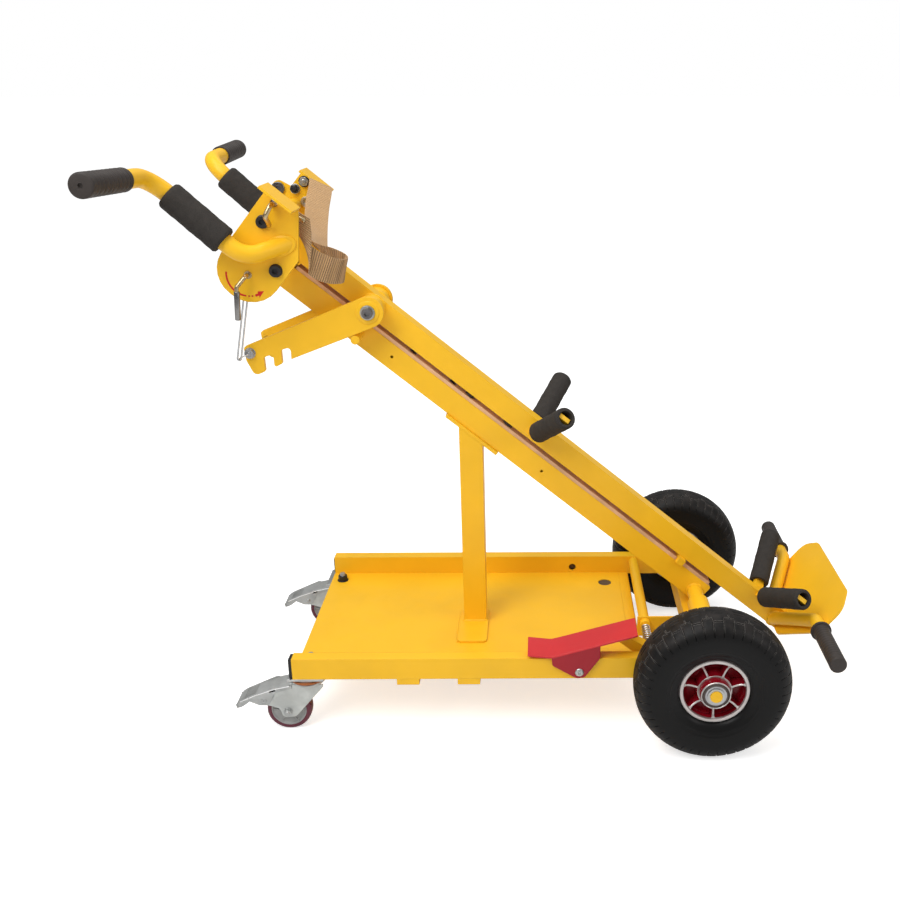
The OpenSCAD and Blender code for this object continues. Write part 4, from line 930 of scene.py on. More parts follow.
def brake_top():
    """The pressing's top, its section carried along BRAKE_TOP."""
    last = len(BRAKE_TOP) - 1
    verts = []
    for i, (x, z, half) in enumerate(BRAKE_TOP):
        before, after = BRAKE_TOP[max(i - 1, 0)], BRAKE_TOP[min(i + 1, last)]
        normal = Vector((before[1] - after[1], after[0] - before[0])).normalized()
        if normal.y < 0:
            normal = -normal
        depth = 2.2 if i == 0 else (3.0 if i > 10 else 4.5)
        for w, d in brake_section(half, depth):
            verts.append(mm(x + normal.x * d, w, z + normal.y * d))
    size = 12
    return verts, skin(last + 1, size, True) + [lid(0, size), lid(last, size, True)]


def caster_brake():
    """Brake pedal: material 0 is the pressing, 1 thin bright lines along its side flanges, a painted
    highlight.
    """
    brake = Build()
    brake.add(brake_top(), CASTER)
    ridge = ((-1.1, -0.8), (-0.3, 0.9), (0.5, 1.1), (1.1, 0.7))
    faces = [[0, 1, 2, 3], [7, 6, 5, 4], [1, 5, 6, 2], [0, 4, 5, 1], [2, 6, 7, 3]]
    for k in range(7):
        x, z = -92 - 3 * k, 72.4 - 1.4 * k
        brake.add(([mm(x + a, w, z + b) for w in (-14.5, 14.5) for a, b in ridge], faces), CASTER)
    for outline, inner, outer in ((BRAKE_CHEEK, 18.0, 20.2), (BRAKE_SKIRT, 18.2, 20.0)):
        brake.prism(outline, -outer, -inner, CASTER)
        brake.prism(outline, inner, outer, CASTER)
    # Thin near-white tubes along the flanges: painted highlight.
    for w in (-19.9, 19.9):
        brake.tube([mm(x, w, z) for x, z in BRAKE_HIGHLIGHT_LINE], 0.0008, CASTER, 1, 8)
    return brake


def make_caster(side, sign):
    shapes = [caster_fork(), caster_pins(), caster_tread(), caster_core(), caster_brake()]
    if sign > 0:
        shapes = [shape.flipped() for shape in shapes]
    fork, pins, tread, core, brake = shapes
    fork_node, pins_node, lever_node = f"{side}_caster_fork", f"{side}_caster_pins", f"{side}_brake_lever"
    tread_node, core_node = f"{side}_caster_tread", f"{side}_caster_core"
    swivel, roller, pad = f"{side}_swivel", f"{side}_roller", f"{side}_brake"
    fork.make(f"{side}_fork_pressing", swivel, SHEET_ZINC, "zinc", [fork_node], bevel=0.0007)
    pins.make(f"{side}_fork_bolts", swivel, ZINC, "zinc", [pins_node])
    tread.make(f"{side}_roller_tread", roller, MAROON, "maroon_polyurethane", [tread_node])
    core.make(f"{side}_roller_core", roller, GREY_PLASTIC, "grey_plastic", [core_node])
    brake.make(f"{side}_brake_pressing", pad, [PAD_ZINC, EDGE_HIGHLIGHT], "zinc", [lever_node], bevel=0.0005)


for side, sign in SIDES:
    make_caster(side, sign)


# Foam, grips and tubes, made for the far side


HANDLE = [
    Vector((-945, 110, 69.4)),
    Vector((-975, 147, 26.4)),
    Vector((-1155, 147, 36.4)),
    Vector((-1165, 357, 37.9)),
]
FRONT_X, FRONT_Z = 153, 124.4
FRONT = [Vector((FRONT_X, 15, 51.4)), Vector((FRONT_X, 122, FRONT_Z)), Vector((FRONT_X, 266, FRONT_Z))]


def cut_tube(line, radius, sides, direction, y):
    """Tube on the mast whose first end is cut off square to Y."""
    verts, faces = round_skin(line, radius, sides, False)
    slide_to(verts[:sides], direction, y)
    tube = Build()
    tube.add((verts, faces), MAST)
    return tube


def handle_tube():
    """Bent handle tube with the weld where it meets the head."""
    direction = (HANDLE[1] - HANDLE[0]).normalized()
    root = HANDLE[0] + direction * ((HEAD_Y - HANDLE[0].y) / direction.y)
    line = [root * MM] + [p for p in bent(HANDLE, 42, 14) if p.y >= HEAD_Y * MM]
    tube = cut_tube(line, 0.014, 40, direction, 0.1122)
    side = (Vector((0, 0, 1)) - direction * direction.z).normalized()
    loop = ring_points(root, 13.2, 48, side, direction.cross(side))
    slide_to(loop, direction, HEAD_Y)
    bead(tube, loop, 3.4, MAST, True, 0.1)
    return tube


def front_tube():
    """Bent front tube with the weld where it meets the mast."""
    direction = (FRONT[1] - FRONT[0]).normalized()
    tube = cut_tube(bent(FRONT, 24, 12), 0.012, 36, direction, 0.0152)
    loop = ring_points(FRONT[0], 12.4, 40, Vector((1, 0, 0)), Vector((0, -direction.z, direction.y)))
    slide_to(loop, direction, 15.4)
    bead(tube, loop, 1.8, MAST, True)
    return tube


def foam_sleeve(start, end, radius, bore, matrix):
    """Foam tube with soft ends and small dents."""
    sides = 40
    lip = 0.0022
    start, end = Vector(start) * MM, Vector(end) * MM
    length = (end - start).length
    count = max(12, int(length / 0.003))
    line = []
    outer = []
    for i in range(count + 1):
        t = i / count
        inset = max(0.0, lip - min(t, 1 - t) * length)
        shrink = lip - math.sqrt(max(0.0, lip ** 2 - inset ** 2))
        dent = 0.00022 * math.sin(t * 17.0) + 0.00016 * math.sin(t * 41.0 + 1.0)
        line.append(start.lerp(end, t))
        outer.append(radius * MM - shrink - 0.0003 + dent)
    sleeve = Build()
    sleeve.tube(line, outer, matrix, 0, sides, False)
    last = count * sides
    inner = last + sides
    sleeve.tube([line[0], line[-1]], bore * MM, matrix, 0, sides, False, True)
    for k in range(sides):
        n = (k + 1) % sides
        sleeve.faces.append([n, k, inner + k, inner + n])
        sleeve.faces.append([last + k, last + n, inner + sides + n, inner + sides + k])
        sleeve.mats += [0, 0]
    return sleeve


def make_foam(name, sign, sleeve, replaced):
    """Makes a foam piece of a sleeve drawn on the far side."""
    shape = sleeve if sign > 0 else sleeve.flipped()
    obj = shape.make(name, "mast", FOAM, "black_foam", [replaced])


GRIP_LENGTH, GRIP_RADIUS = 128, 17.4


def grip_radius(s):
    """Radius of the ribbed grip, s millimetres from its open end."""
    if s < 12:
        return GRIP_RADIUS - 0.2 * (1 - math.cos(s / 12 * math.pi)) - 0.5 * max(0.0, 2 - s)
    if s < 116:
        return 15.9 + 1.5 * abs(math.sin(math.pi * (s - 12) / 13.0)) ** 0.7
    end = max(0.0, s - 125)
    return GRIP_RADIUS - 3 + math.sqrt(max(0.0, 9 - end ** 2))


def ribbed_grip():
    """Grip on the handle's end, its tip closed round a small dimple."""
    direction = (HANDLE[3] - HANDLE[2]).normalized()
    tip = HANDLE[3] + direction * 3
    sides = 48
    start = tip - direction * GRIP_LENGTH
    line, radii = turned_line(start, direction, GRIP_LENGTH, 192, grip_radius)
    grip = Build()
    grip.tube([line[0]] + line + [line[-1]], [0.0142] + radii + [0.0034], MAST, 0, sides, False)
    verts, faces = round_skin([tip * MM, (tip - direction * 2.5) * MM], [0.0034, 0.003], sides, False)
    grip.add((verts, faces + [lid(1, sides)]), MAST)
    return grip


PEG_TIP_Y, PEG_LENGTH = 268.5, 112


def peg_radius(s):
    """Radius of the front grip, s millimetres from its tip."""
    if s < 10:
        end = max(0.0, 2.5 - s)
        return 11.9 + math.sqrt(max(0.0, 6.25 - end ** 2))
    if s < 11.5:
        return 13.7
    if s <= 100:
        return 14.2 + 0.10 * math.sin(s * 0.9)
    if s <= 106:
        return 14.2 + 0.6 * ((s - 100) / 6) ** 2
    return 17.9 - 0.5 * max(0.0, s - 110.5) - 0.9 * max(0.0, 107 - s)


def front_peg():
    """Rubber grip on the front tube, closed at its tip."""
    sides = 44
    tip = Vector((FRONT_X, PEG_TIP_Y, FRONT_Z))
    line, radii = turned_line(tip, Vector((0, -1, 0)), PEG_LENGTH, 224, peg_radius)
    line = [line[0]] * 2 + line + [line[-1]]
    radii = [0.0005, 0.0095] + radii + [0.0122]
    verts, faces = round_skin(line, radii, sides, False, (1, 0, 0))
    peg = Build()
    peg.add((verts, faces + [lid(0, sides, True)]), MAST)
    return peg


handle_tube().mirrored().make("handle_bends", "mast", YELLOW, "yellow_paint", ["handle_tubes"], smooth=60)
sleeve_direction = (HANDLE[2] - HANDLE[1]).normalized()
sleeve_start = HANDLE[1] + sleeve_direction * 38
for side, sign in SIDES:
    sleeve = foam_sleeve(sleeve_start, sleeve_start + sleeve_direction * 104, 22.5, 14.1, MAST)
    make_foam(f"{side}_handle_foam", sign, sleeve, "handle_sleeves")
ribbed_grip().mirrored().make("ribbed_grips", "mast", GRIP, "black_rubber", ["handle_grips"], smooth=35)
front_tube().mirrored().make("front_bends", "mast", YELLOW, "yellow_paint", ["front_tubes"], smooth=60)
front_peg().mirrored().make("front_pegs", "mast", GRIP, "black_rubber", ["front_grips"], smooth=35)

for label, x, z, slope, reach in (("low", 103, 68.4, 32.5, 132), ("high", -424, 48.4, 40, 116)):
    arm = MAST @ moved(x, 15, z) @ turned(90, "Z") @ turned(-slope, "Y")
    length = (reach - 15) / math.cos(math.radians(slope))
    root = 18.5 * math.tan(math.radians(slope)) + 4
    for side, sign in SIDES:
        sleeve = foam_sleeve((root, 0, 0), (length, 0, 0), 18.5, 12.0, arm)
        make_foam(f"{side}_{label}_arm_foam", sign, sleeve, "arm_pads")


# Screws, caps and discs of painted shade


def head_screws():
    """Screws of the head: material 0 zinc, 1 black oxide, 2 sheet zinc, 3 dark steel."""
    screws = Build()
    for x, z in ((-930, 30.9), (-989, 80.6)):
        for out in BOTH:
            spot = MAST @ along_y(x, out * HEAD_Y, z, 12 + x, out)
            socket_head(screws, washer(screws, spot, 10.6, 1.0, 1), 9.6, 6.0, 1)
        screws.pin(5.98, -HEAD_Y, HEAD_Y, MAST @ along_y(x, 0, z), 1)
    for out in BOTH:
        spot = MAST @ along_y(ARM_X, out * 58.3, ARM_Z, 20, out)
        socket_head(screws, washer(screws, spot, 12.4, 2.6), 9.2, 6.2, 3)
    screws.pin(5.98, -58.5, 58.5, MAST @ along_y(ARM_X, 0, ARM_Z), 1)
    far_face = 108
    for x, z, radius, nut_look, washer_look in ((-1000, 123.4, 8.4, 0, 1), (-1005, 103.4, 7.8, 1, 0)):
        spot = MAST @ along_y(x, far_face, z, x)
        top = washer(screws, spot, radius * 1.14, 1.2, washer_look)
        hex_nut(screws, top, radius, 5.2, nut_look, 4.4, 1.6)
    socket_head(screws, MAST @ along_y(-977.5, far_face, 97.4, -977.5), 8.8, 4.6)
    socket_head(screws, MAST @ along_y(-1028, far_face, 85.4, 10), 11.4, 4.8, 3)
    return screws


def arm_bosses():
    """Low bosses round the arms' pivot."""
    bosses = Build()
    for out in BOTH:
        spot = ARMS @ along_y(0, out * ARM_Y, 0, 0, out)
        bosses.lathe([(19.8, -0.6), (19.4, 0.7), (18.6, 1.2), (12.6, 1.25)], spot, 0, 64)
    return bosses


def strip_studs():
    """Two screws and two rubber stops: material 0 black oxide, 1 rubber."""
    studs = Build()
    strip_top = 30.4
    for x in (-677, -591):
        button_head(studs, MAST @ moved(x, 0, strip_top), 7.2, 2.8)
    stop = [(9.2, 0), (9.4, 2.2), (8.9, 4.0), (7.4, 5.7), (4.5, 6.6), (0, 6.9)]
    for x in (-554, -469):
        studs.lathe(stop, MAST @ moved(x, 0, strip_top), 1, 36)
    return studs


def caster_nuts():
    """Nuts on the tray over the casters: material 0 black oxide, 1 zinc."""
    nuts = Build()
    for out in BOTH:
        spot = CART @ moved(CASTER_X, out * 151, TRAY_Z) @ turned(22.92, "Z")
        hex_nut(nuts, washer(nuts, spot, 11, 1.5), 9.4, 9.4, 0, 4.9, 3.0)
        stud = [(4.95, 0), (4.95, 22.6), (4.2, 23.6), (0, 23.8)]
        nuts.lathe(stud, CART @ moved(CASTER_X, out * 151, TRAY_Z - 7), 1, 24)
    return nuts


def end_caps():
    """Caps in the rails' ends; the far one beside the casters lies flush."""
    caps = Build()
    middle_y, middle_z = 192, 127.2
    shape = rounded([(181.4, 108.4), (202.6, 108.4), (202.6, 146.0), (181.4, 146.0)], [3, 3, 3, 3])
    size = len(shape)
    for out in BOTH:
        for end, front in ((-704, -1), (27, 1)):
            layers = ((-1.5, 1.0), (2.6, 1.0), (3.6, 0.955))
            if out > 0 and front < 0:
                layers = ((-1.5, 0.86), (-0.6, 0.86), (-0.2, 0.84))
            verts = []
            for stands, grown in layers:
                for y, z in shape:
                    y = out * (middle_y + (y - middle_y) * grown)
                    verts.append(mm(end + front * stands, y, middle_z + (z - middle_z) * grown))
            caps.add((verts, [lid(0, size), lid(2, size)] + skin(3, size)), CART)
    return caps


def tray_lip():
    """The tray's edge folded down along the cross tube."""
    fold = [(-123, TRAY_Z), (-107, TRAY_Z), (-104.2, 109.8), (-102.8, 107), (-102.6, 100), (-105.2, 100)]
    fold += [(-105.4, 106.2), (-107, 108), (-123, 108)]
    lip = Build()
    lip.prism(fold, -180.8, 180.8, CART)
    return lip



def hole_shades():
    """Dark discs in a hole of the tray and one of the far rail: painted shade, standing for the shade
    inside the holes so the floor does not show through.
    """
    shade_discs = Build()
    tray_hole_shade = [(0, -2.6), (12.6, -2.6), (12.6, -1.4), (0, -1.2)]
    shade_discs.lathe(tray_hole_shade, CART @ moved(-153, 137, TRAY_Z), 0, 48)
    rail_hole_shade = [(0, 6), (6.6, 6), (6.6, 9), (0, 9)]
    shade_discs.lathe(rail_hole_shade, CART @ along_y(PEDAL_X, RAIL_Y, PEDAL_Z, 0, 1), 0, 36)
    return shade_discs


def arm_cross_bolt():
    """Bolt through the arms' ends with a wire eye: material 0 chrome, 1 steel."""
    bolt = Build()
    x = -210
    for out in BOTH:
        spot = ARMS @ along_y(x, out * ARM_Y, 0, 10, out)
        hex_nut(bolt, washer(bolt, spot, 9.4, 1.2, 1), 8.4, 5.6, 1, 4.0, 1.8)
    bolt.pin(3.98, -59.5, 59.5, ARMS @ along_y(x, 0, 0))
    eye = bent([(x, -67.2, 0), (x - 6, -70.5, 0.5), (x - 13, -70.8, 0), (x - 13, -83, 0)], 2.2, 6)
    bolt.add(round_bar(eye, 0.00108, 12), ARMS)
    return bolt


screw_looks = [ZINC, BLACK_OXIDE, SHEET_ZINC, DARK_STEEL]
head_screws().make("head_screws", "mast", screw_looks, "black_oxide", ["head_bolts"])
arm_bosses().make("arm_bosses", "arms", YELLOW, "yellow_paint", smooth=50)
strip_studs().make("strip_studs", "mast", [BLACK_OXIDE, GRIP], "black_oxide", ["strip_screws"])
caster_nuts().make("caster_nuts", "base", [BLACK_OXIDE, ZINC], "black_oxide", ["caster_bolts"])
end_caps().make("end_caps", "base", BLACK_PLASTIC, "black_plastic", ["rail_end_caps"])
tray_lip().make("tray_lip", "base", YELLOW, "yellow_paint")
hole_shades().make("hole_shades", "base", HOLE_SHADE, "black_plastic", smooth=50)
arm_cross_bolt().make("arm_cross_bolt", "arms", [CHROME, STEEL], "steel", ["hook_arm_bolt"])


# Wire link and lock lever


def wire_loop():
    """Closed loop of wire that hangs from the arms' eye."""
    half, low, high = 3, 0.35, 137.35
    bow = [math.pi * k / 14 for k in range(15)]
    loop = [mm(-half * math.cos(a), 0, low - half * math.sin(a)) for a in bow]
    loop += [mm(half, 0, z) for z in range(8, 134, 12)]
    loop += [mm(half * math.cos(a), 0, high + half * math.sin(a)) for a in bow]
    loop += [mm(-half, 0, z) for z in range(128, 4, -12)]
    link = Build()
    link.add(round_skin(loop + [loop[0]], 0.00148, 14, False, (0, 1, 0)), LINK)
    return link


LEVER_Y = -81.5
ELBOW_Y = -128
LEVER_ELBOW = Vector((0, ELBOW_Y - 8, -20))
tilt = math.radians(MAST_TILT)
LEVER_DOWN = Vector((math.sin(tilt) - 0.06, 0, -math.cos(tilt))).normalized()


def crank_lever():
    """Bent lever with its crank plate, rivet and collar."""
    lever = Build()
    path = [(0, LEVER_Y - 4, 0), (0, ELBOW_Y, 0), LEVER_ELBOW, LEVER_ELBOW + LEVER_DOWN * 50]
    lever.add(round_bar(bent(path, 5), 0.0034, 24), LEVER)
    crank = LEVER @ turned(-225 - MAST_TILT, "Y")
    plate = rounded([(-6, -6), (18, -4), (18, 4), (-6, 6)], [5, 3.5, 3.5, 5])
    lever.prism(plate, LEVER_Y - 4, LEVER_Y, crank)
    button_head(lever, crank @ along_y(14, LEVER_Y, 0, 0, 1), 1.6, 0.4)
    collar = [(3.5, 0), (6.0, 0), (6.4, 0.8), (6.0, 2.0), (3.5, 2.0)]
    lever.lathe(collar, LEVER @ along_y(0, -112.1, 0), 0, 32)
    return lever


def lever_handle():
    """Sleeve on the lever's hanging end."""
    top = LEVER_ELBOW + LEVER_DOWN * 6
    tip = top + LEVER_DOWN * 46
    handle = Build()
    handle.add(round_bar([top * MM, top.lerp(tip, 0.5) * MM, tip * MM], 0.0046, 28), LEVER)
    return handle


wire_loop().make("wire_loop", "link", CHROME, "zinc", ["wire_link"], smooth=60)
crank_lever().make("crank_lever", "lock_lever", BRASSY, "zinc", ["lever"], smooth=50)
lever_handle().make("lever_handle", "lock_lever", SLEEVE, "dark_sleeve", ["lever_sleeve"], smooth=50)


# Hook and strap


HOOK_X, HOOK_Z = -992, 115.4
LOW_Z = HOOK_Z - 2
HOOK_PATH = [
    (HOOK_X + 15, -120, HOOK_Z - 31),
    (HOOK_X + 4, -134, HOOK_Z - 20),
    (HOOK_X, -130, LOW_Z),
    (HOOK_X, -99, LOW_Z),
    (HOOK_X + 4, -93, LOW_Z + 12),
    (HOOK_X + 18, -92, LOW_Z + 12),
    (HOOK_X + 34, -94, LOW_Z + 2),
    (HOOK_X + 52, -97, LOW_Z + 6),
]
hook = Build()
hook.add(round_bar(bent(HOOK_PATH, 7, 12), 0.0040, 28), MAST)
hook.make("strap_wire_hook", "mast", BRASSY, "brassy_zinc", ["strap_hook"], smooth=60)

# The strap's middle in millimetres of the cart, and the direction of its width
ROUTE = [
    ((-658, -95, 877), (0.85, 0.00, -0.52)),
    ((-656, -95, 858), (0.82, -0.12, -0.55)),
    ((-653, -96, 836), (0.66, -0.38, -0.65)),
    ((-647, -98, 814), (0.24, -0.50, -0.83)),
    ((-640, -98, 799), (-0.22, -0.40, -0.89)),
    ((-627, -94, 789), (-0.34, -0.22, -0.91)),
    ((-612, -86, 782), (-0.35, -0.08, -0.93)),
    ((-600, -73, 779), (-0.31, 0.02, -0.95)),
    ((-596, -59, 779), (-0.24, 0.06, -0.97)),
    ((-602, -45, 783), (-0.14, 0.06, -0.99)),
    ((-617, -36, 790), (0.10, 0.06, -0.99)),
    ((-632, -31, 796), (0.35, 0.04, -0.94)),
    ((-644, -20, 805), (0.62, 0.02, -0.78)),
    ((-652, 1, 819), (0.80, 0.00, -0.60)),
    ((-658, 32, 840), (0.88, 0.00, -0.47)),
    ((-661, 67, 868), (0.92, 0.00, -0.39)),
    ((-660, 89, 888), (0.91, 0.00, -0.42)),
    ((-660, 103, 901), (0.91, 0.00, -0.42)),
]
STRAP_STEPS = 64
STRAP_ACROSS = 16
STRAP_HALF = 21.0
RIB_PITCH = 3.0


def smooth_at(values, s):
    """A place on the smooth line through points, s counted in points."""
    last = len(values) - 1
    k = min(int(s), last - 1)
    t = s - k
    a, b = values[max(k - 1, 0)], values[k]
    c, d = values[k + 1], values[min(k + 2, last)]
    bend = (2 * a - 5 * b + 4 * c - d) * t * t + (3 * b - a - 3 * c + d) * t ** 3
    return 0.5 * ((2 * b) + (c - a) * t + bend)


def strap_section(run, place):
    """Section of the webbing: (across from -1 to 1, half thickness, lift)."""
    cup = 0.5 * math.sin(run * 0.05 + 0.6)
    hoop = max(0.0, min(1.0, (place - 1.6) / 1.6, (12.4 - place) / 1.5))
    rib = (0.08 + 0.42 * hoop) * (math.cos(2 * math.pi * run / RIB_PITCH) - 1)
    section = []
    for k in range(STRAP_ACROSS + 1):
        t = 2 * k / STRAP_ACROSS - 1
        section.append((t, 0.8 if abs(t) > 0.93 else 1.15 + rib, cup * (1 - t * t)))
    return section


def strap_piece():
    """Webbing with cross ribs, deepest where it turns in its hoop."""
    count = (len(ROUTE) - 1) * STRAP_STEPS
    places = [i / STRAP_STEPS for i in range(count + 1)]
    points = [Vector(point) for point, width in ROUTE]
    widths = [Vector(width) for point, width in ROUTE]
    middles = [smooth_at(points, place) for place in places]
    sides = [smooth_at(widths, place).normalized() for place in places]
    verts = []
    uvs = []
    run = 0.0
    for i, place in enumerate(places):
        along = (middles[min(i + 4, count)] - middles[max(i - 4, 0)]).normalized()
        normal = along.cross(sides[i]).normalized()
        if i:
            run += (middles[i] - middles[i - 1]).length
        section = strap_section(run, place)
        for face, row in ((1, section), (-1, section[::-1])):
            for t, thick, lift in row:
                point = middles[i] + sides[i] * STRAP_HALF * t + normal * (thick * face + lift)
                verts.append(CART @ (point * MM))
                uvs.append((STRAP_HALF * t * MM, run * MM))
    size = 2 * (STRAP_ACROSS + 1)
    faces = skin(count + 1, size, True) + [lid(0, size), lid(count, size, True)]
    obj = piece("strap_webbing", verts, faces, "mast", WEB, ["strap"], smooth=80, uvs=uvs)
    return run


strap_length = strap_piece()


# Pedal


FOLD_X, FOLD_Z = -47, 25.5
PEDAL_RISE = math.tan(math.radians(16))
PEDAL_PLAN = [
    (-87, FOLD_Z + 5),
    (-60, FOLD_Z + 1.9),
    (-52, FOLD_Z + 0.9),
    (-46, FOLD_Z + 0.8),
    (-40, FOLD_Z + 2.2),
    (-30, FOLD_Z - (FOLD_X + 30) * PEDAL_RISE),
    (97, FOLD_Z + (97 - FOLD_X) * PEDAL_RISE),
]
PEDAL_THICK = 4


def foot_pedal():
    """Bent pedal plate with its ear: material 0 is the top's red, 1 a darker red that paints the shade on
    the ear's side.
    """
    pedal = Build()
    place = CART @ moved(PEDAL_X, 0, PEDAL_Z)
    outline = PEDAL_PLAN + [(x, z + PEDAL_THICK) for x, z in PEDAL_PLAN[::-1]]
    pedal.prism(outline, -PEDAL_Y, -150, place)
    ear_top = FOLD_Z + (35 - FOLD_X) * PEDAL_RISE + 2
    ear = [(-47, 27), (-45.5, 12.5), (-4, -12.5), (9, -10), (35, 26.5), (35, ear_top)]
    # The ear takes material 1, the darker red of painted shade.
    pedal.prism(rounded(ear, [0, 6, 9, 8, 4, 0]), -PEDAL_Y, PEDAL_THICK - PEDAL_Y, place, 1)
    return pedal


def pedal_rivet():
    """Pivot of the pedal with its head, spacer ring and nut."""
    rivet = Build()
    spot = CART @ along_y(PEDAL_X, -PEDAL_Y, PEDAL_Z)
    button_head(rivet, spot @ moved(0, 0, 0.3), 7.4, 2.9)
    rivet.pin(4.95, -28, 0.4, spot)
    rivet.lathe([(5.0, -5.8), (8.0, -5.8), (8.0, -4.3), (5.0, -4.3)], spot, 0, 32)
    hex_nut(rivet, CART @ along_y(PEDAL_X, -RAIL_Y, PEDAL_Z, 0, 1), 8.6, 4.0)
    return rivet


def torsion_spring():
    """Coil round the latch's axis."""
    x, z, radius = -93, 135, 7.3
    near_end, length = -146.75, 65.5
    turns = 9
    steps = 28
    coil = []
    for i in range(turns * steps + 1):
        a = 2 * math.pi * i / steps
        y = near_end + length * i / (turns * steps)
        coil.append(mm(x + radius * math.cos(a), y, z + radius * math.sin(a)))
    spring = Build()
    spring.tube(coil, 0.00165, CART, 0, 14)
    return spring


pedal_looks = [RED, RED_PAINTED_SHADE]
foot_pedal().make("foot_pedal", "pedal", pedal_looks, "red_paint", ["pedal"], bevel=0.0011, segments=3)
pedal_rivet().make("pedal_rivet", "base", ZINC, "zinc", ["pedal_pin"])
torsion_spring().make("torsion_spring", "latch", CHROME, "steel", ["latch_spring"], smooth=60)


# Weld beads


def base_welds():
    """Beads where the base's tubes and plates meet."""
    welds = Build()
    for out in BOTH:
        top_y, side_y = out * (RAIL_Y - 0.4), out * (RAIL_Y - 0.6)
        bead(welds, [(-20.5, top_y, 146.6), (20, top_y, 146.6)], 2.0, CART)
        bead(welds, [(-21, side_y, 110), (-21, side_y, 145)], 2.0, CART)
        for x in (-10.4, 16.4):
            bead(welds, [(x, out * 63, 146.8), (x, out * 117, 146.8)], 2.0, CART)
    foot = [(-424, -20), (-383, -20), (-383, 20), (-424, 20)]
    bead(welds, [(x, y, 115.2) for x, y in foot], 2.2, CART, True)
    bead(welds, [(-433, -92, 111.4), (-433, 21, 111.4)], 1.6, CART)
    return welds


def mast_welds():
    """Beads round the mast's two cross tubes and beside its foot."""
    welds = Build()
    x_way, z_way = Vector((1, 0, 0)), Vector((0, 0, 1))
    for out in BOTH:
        loop = ring_points(Vector((ARM_X, out * 15.6, ARM_Z)), 22.2, 48, x_way, z_way)
        bead(welds, loop[2:22], 1.8, MAST)
        loop = ring_points(Vector((0, out * 15.6, 0)), 14.4, 40, x_way, z_way)
        bead(welds, loop, 1.8, MAST, True)
        for z in (24.8, 37.0):
            bead(welds, [(-69.5, out * 14, z), (-69.5, out * 25, z)], 0.9, MAST)
    return welds


base_welds().make("base_welds", "base", YELLOW, "yellow_paint", smooth=70)
mast_welds().make("mast_welds", "mast", YELLOW, "yellow_paint", smooth=70)


# Turning mark on the near head plate


MARK_FACES = (-HEAD_Y, -HEAD_Y - 0.16)
ARC_STEPS = 24


def polar(degrees, radius):
    a = math.radians(degrees)
    return LEVER_X + radius * math.cos(a), LEVER_Z + radius * math.sin(a)


def arc_patch(start, end, inner, outer):
    """Thin curved bar of the mark round the lever's axis."""
    verts = []
    for k in range(ARC_STEPS + 1):
        for radius in (inner, outer):
            x, z = polar(start + (end - start) * k / ARC_STEPS, radius)
            verts += [mm(x, y, z) for y in MARK_FACES]
    faces = []
    for b in range(0, 4 * ARC_STEPS, 4):
        faces += [[b, b + 2, b + 6, b + 4], [b + 1, b + 5, b + 7, b + 3]]
        faces += [[b, b + 4, b + 5, b + 1], [b + 2, b + 3, b + 7, b + 6]]
    end = 4 * ARC_STEPS
    return verts, faces + [[0, 1, 3, 2], [end, end + 2, end + 3, end + 1]]


def flat_patch(points):
    n = len(points)
    verts = [mm(x, y, z) for y in MARK_FACES for x, z in points]
    return verts, [lid(0, n), lid(1, n, True)] + walls(n)


mark = Build()
for start, end in ((211, 271), (280, 300), (305, 309), (314, 318)):
    mark.add(arc_patch(start, end, 32.6, 35.4), MAST)
arrow = [(324, 32.4), (324, 36.2), (333, 36.2), (332, 39.4), (351, 34.6), (335, 29.4), (333, 32.4)]
mark.add(flat_patch([polar(degrees, radius) for degrees, radius in arrow]), MAST)
mark.make("turning_mark", "mast", MARK, "red_paint", smooth=30)


# Camera, lamps and floor


def add_object(name, data):
    obj = bpy.data.objects.new(name, data)
    bpy.context.scene.collection.objects.link(obj)
    return obj


def aim(obj, direction):
    obj.rotation_euler = direction.to_track_quat("-Z", "Y").to_euler()


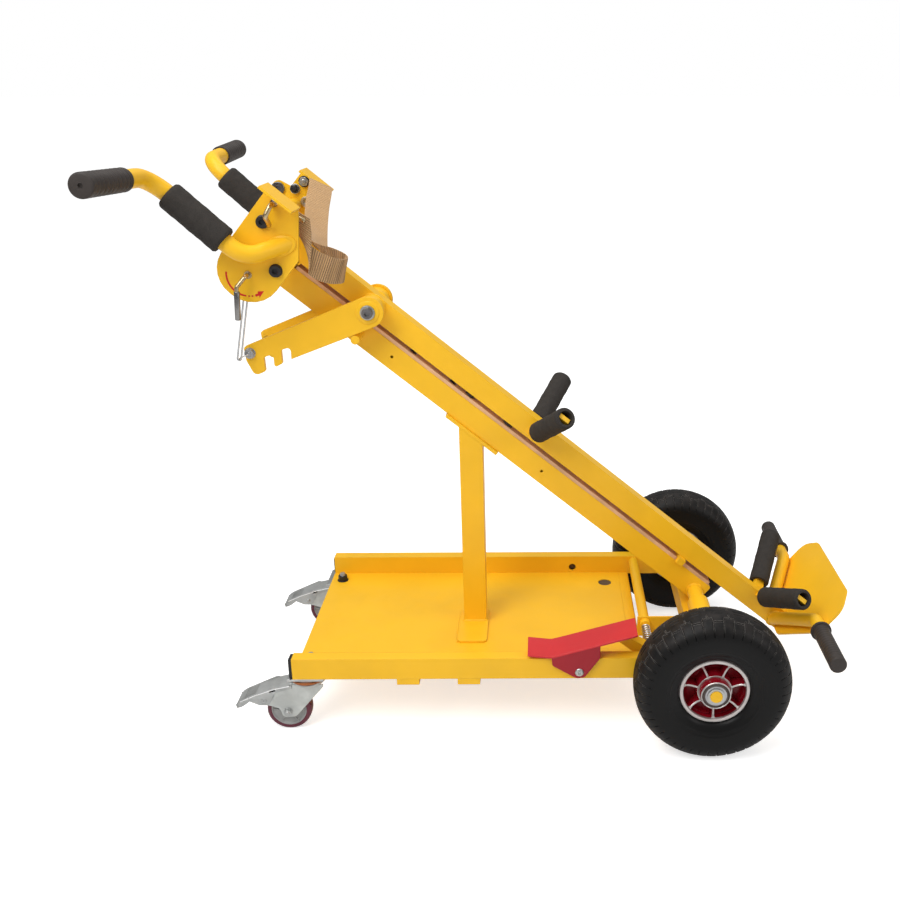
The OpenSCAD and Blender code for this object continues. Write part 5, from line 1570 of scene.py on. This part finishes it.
camera_data = bpy.data.cameras.new("camera")
camera_data.sensor_width = 36
camera_data.lens = 40.69
camera_data.shift_x = -0.110
camera_data.shift_y = -0.037
camera_data.clip_end = 100
camera = add_object("camera", camera_data)
camera.location = CART @ mm(-282.1, -1699.0, 1073.6)
pitch, yaw = 0.3214, 0.0093
aim(camera, Vector((math.sin(yaw) * math.cos(pitch), math.cos(yaw) * math.cos(pitch), -math.sin(pitch))))
bpy.context.scene.camera = camera


def lamp(name, place, target, size, power):
    data = bpy.data.lights.new(name, "AREA")
    data.shape = "DISK"
    data.size = size
    data.energy = power
    obj = add_object(name, data)
    obj.location = place
    aim(obj, Vector(target) - Vector(place))


lamp("top_lamp", (-0.6, -0.5, 3.4), (0, 0, 0.3), 2.4, 36)
lamp("front_lamp", (-1.3, -1.75, 2.6), (-0.2, 0, 0.6), 1.6, 40)
lamp("side_lamp", (2.6, -1.6, 1.6), (0, 0, 0.3), 1.5, 16)
lamp("back_lamp", (0.6, 2.0, 3.4), (0, 0, 0.4), 1.8, 10)


def studio_world():
    """White where the camera sees it, and a light that fades downwards elsewhere."""
    world = bpy.data.worlds.new("studio")
    world.use_nodes = True
    world.node_tree.nodes.clear()
    graph = Graph(world.node_tree)
    x, y, z = graph.split(graph.new("ShaderNodeTexCoord").outputs["Generated"])
    strength = graph.ramp(graph.seen(), 0.0, 1.0, graph.ramp(z, -0.1, 0.9, 0.16, 0.66), 1.0)
    light = graph.filled("ShaderNodeBackground", {"Color": (1, 1, 1), "Strength": strength})
    graph.link(light, graph.new("ShaderNodeOutputWorld").inputs["Surface"])
    return world


def floor_look():
    """Light grey floor that glows only where the camera sees it."""
    m = Nodes("floor", (0.80, 0.80, 0.80), 0.9, shine=0.0)
    m.set("Emission Color", (1, 1, 1, 1))
    m.to(m.ramp(m.seen(), 0.0, 1.0, 0.0, 0.62), "Emission Strength")
    return m.mat


bpy.context.scene.world = studio_world()

FLOOR_HALF = 60
floor_mesh = bpy.data.meshes.new("floor")
corners = [(x * FLOOR_HALF, y * FLOOR_HALF, 0) for x, y in ((-1, -1), (1, -1), (1, 1), (-1, 1))]
floor_mesh.from_pydata(corners, [], [[0, 1, 2, 3]])
floor_mesh.materials.append(floor_look())
floor = add_object("floor", floor_mesh)

bpy.context.scene.view_settings.view_transform = "Standard"


def plain(corners):
    return [[round(float(v), 6) for v in corner] for corner in corners]
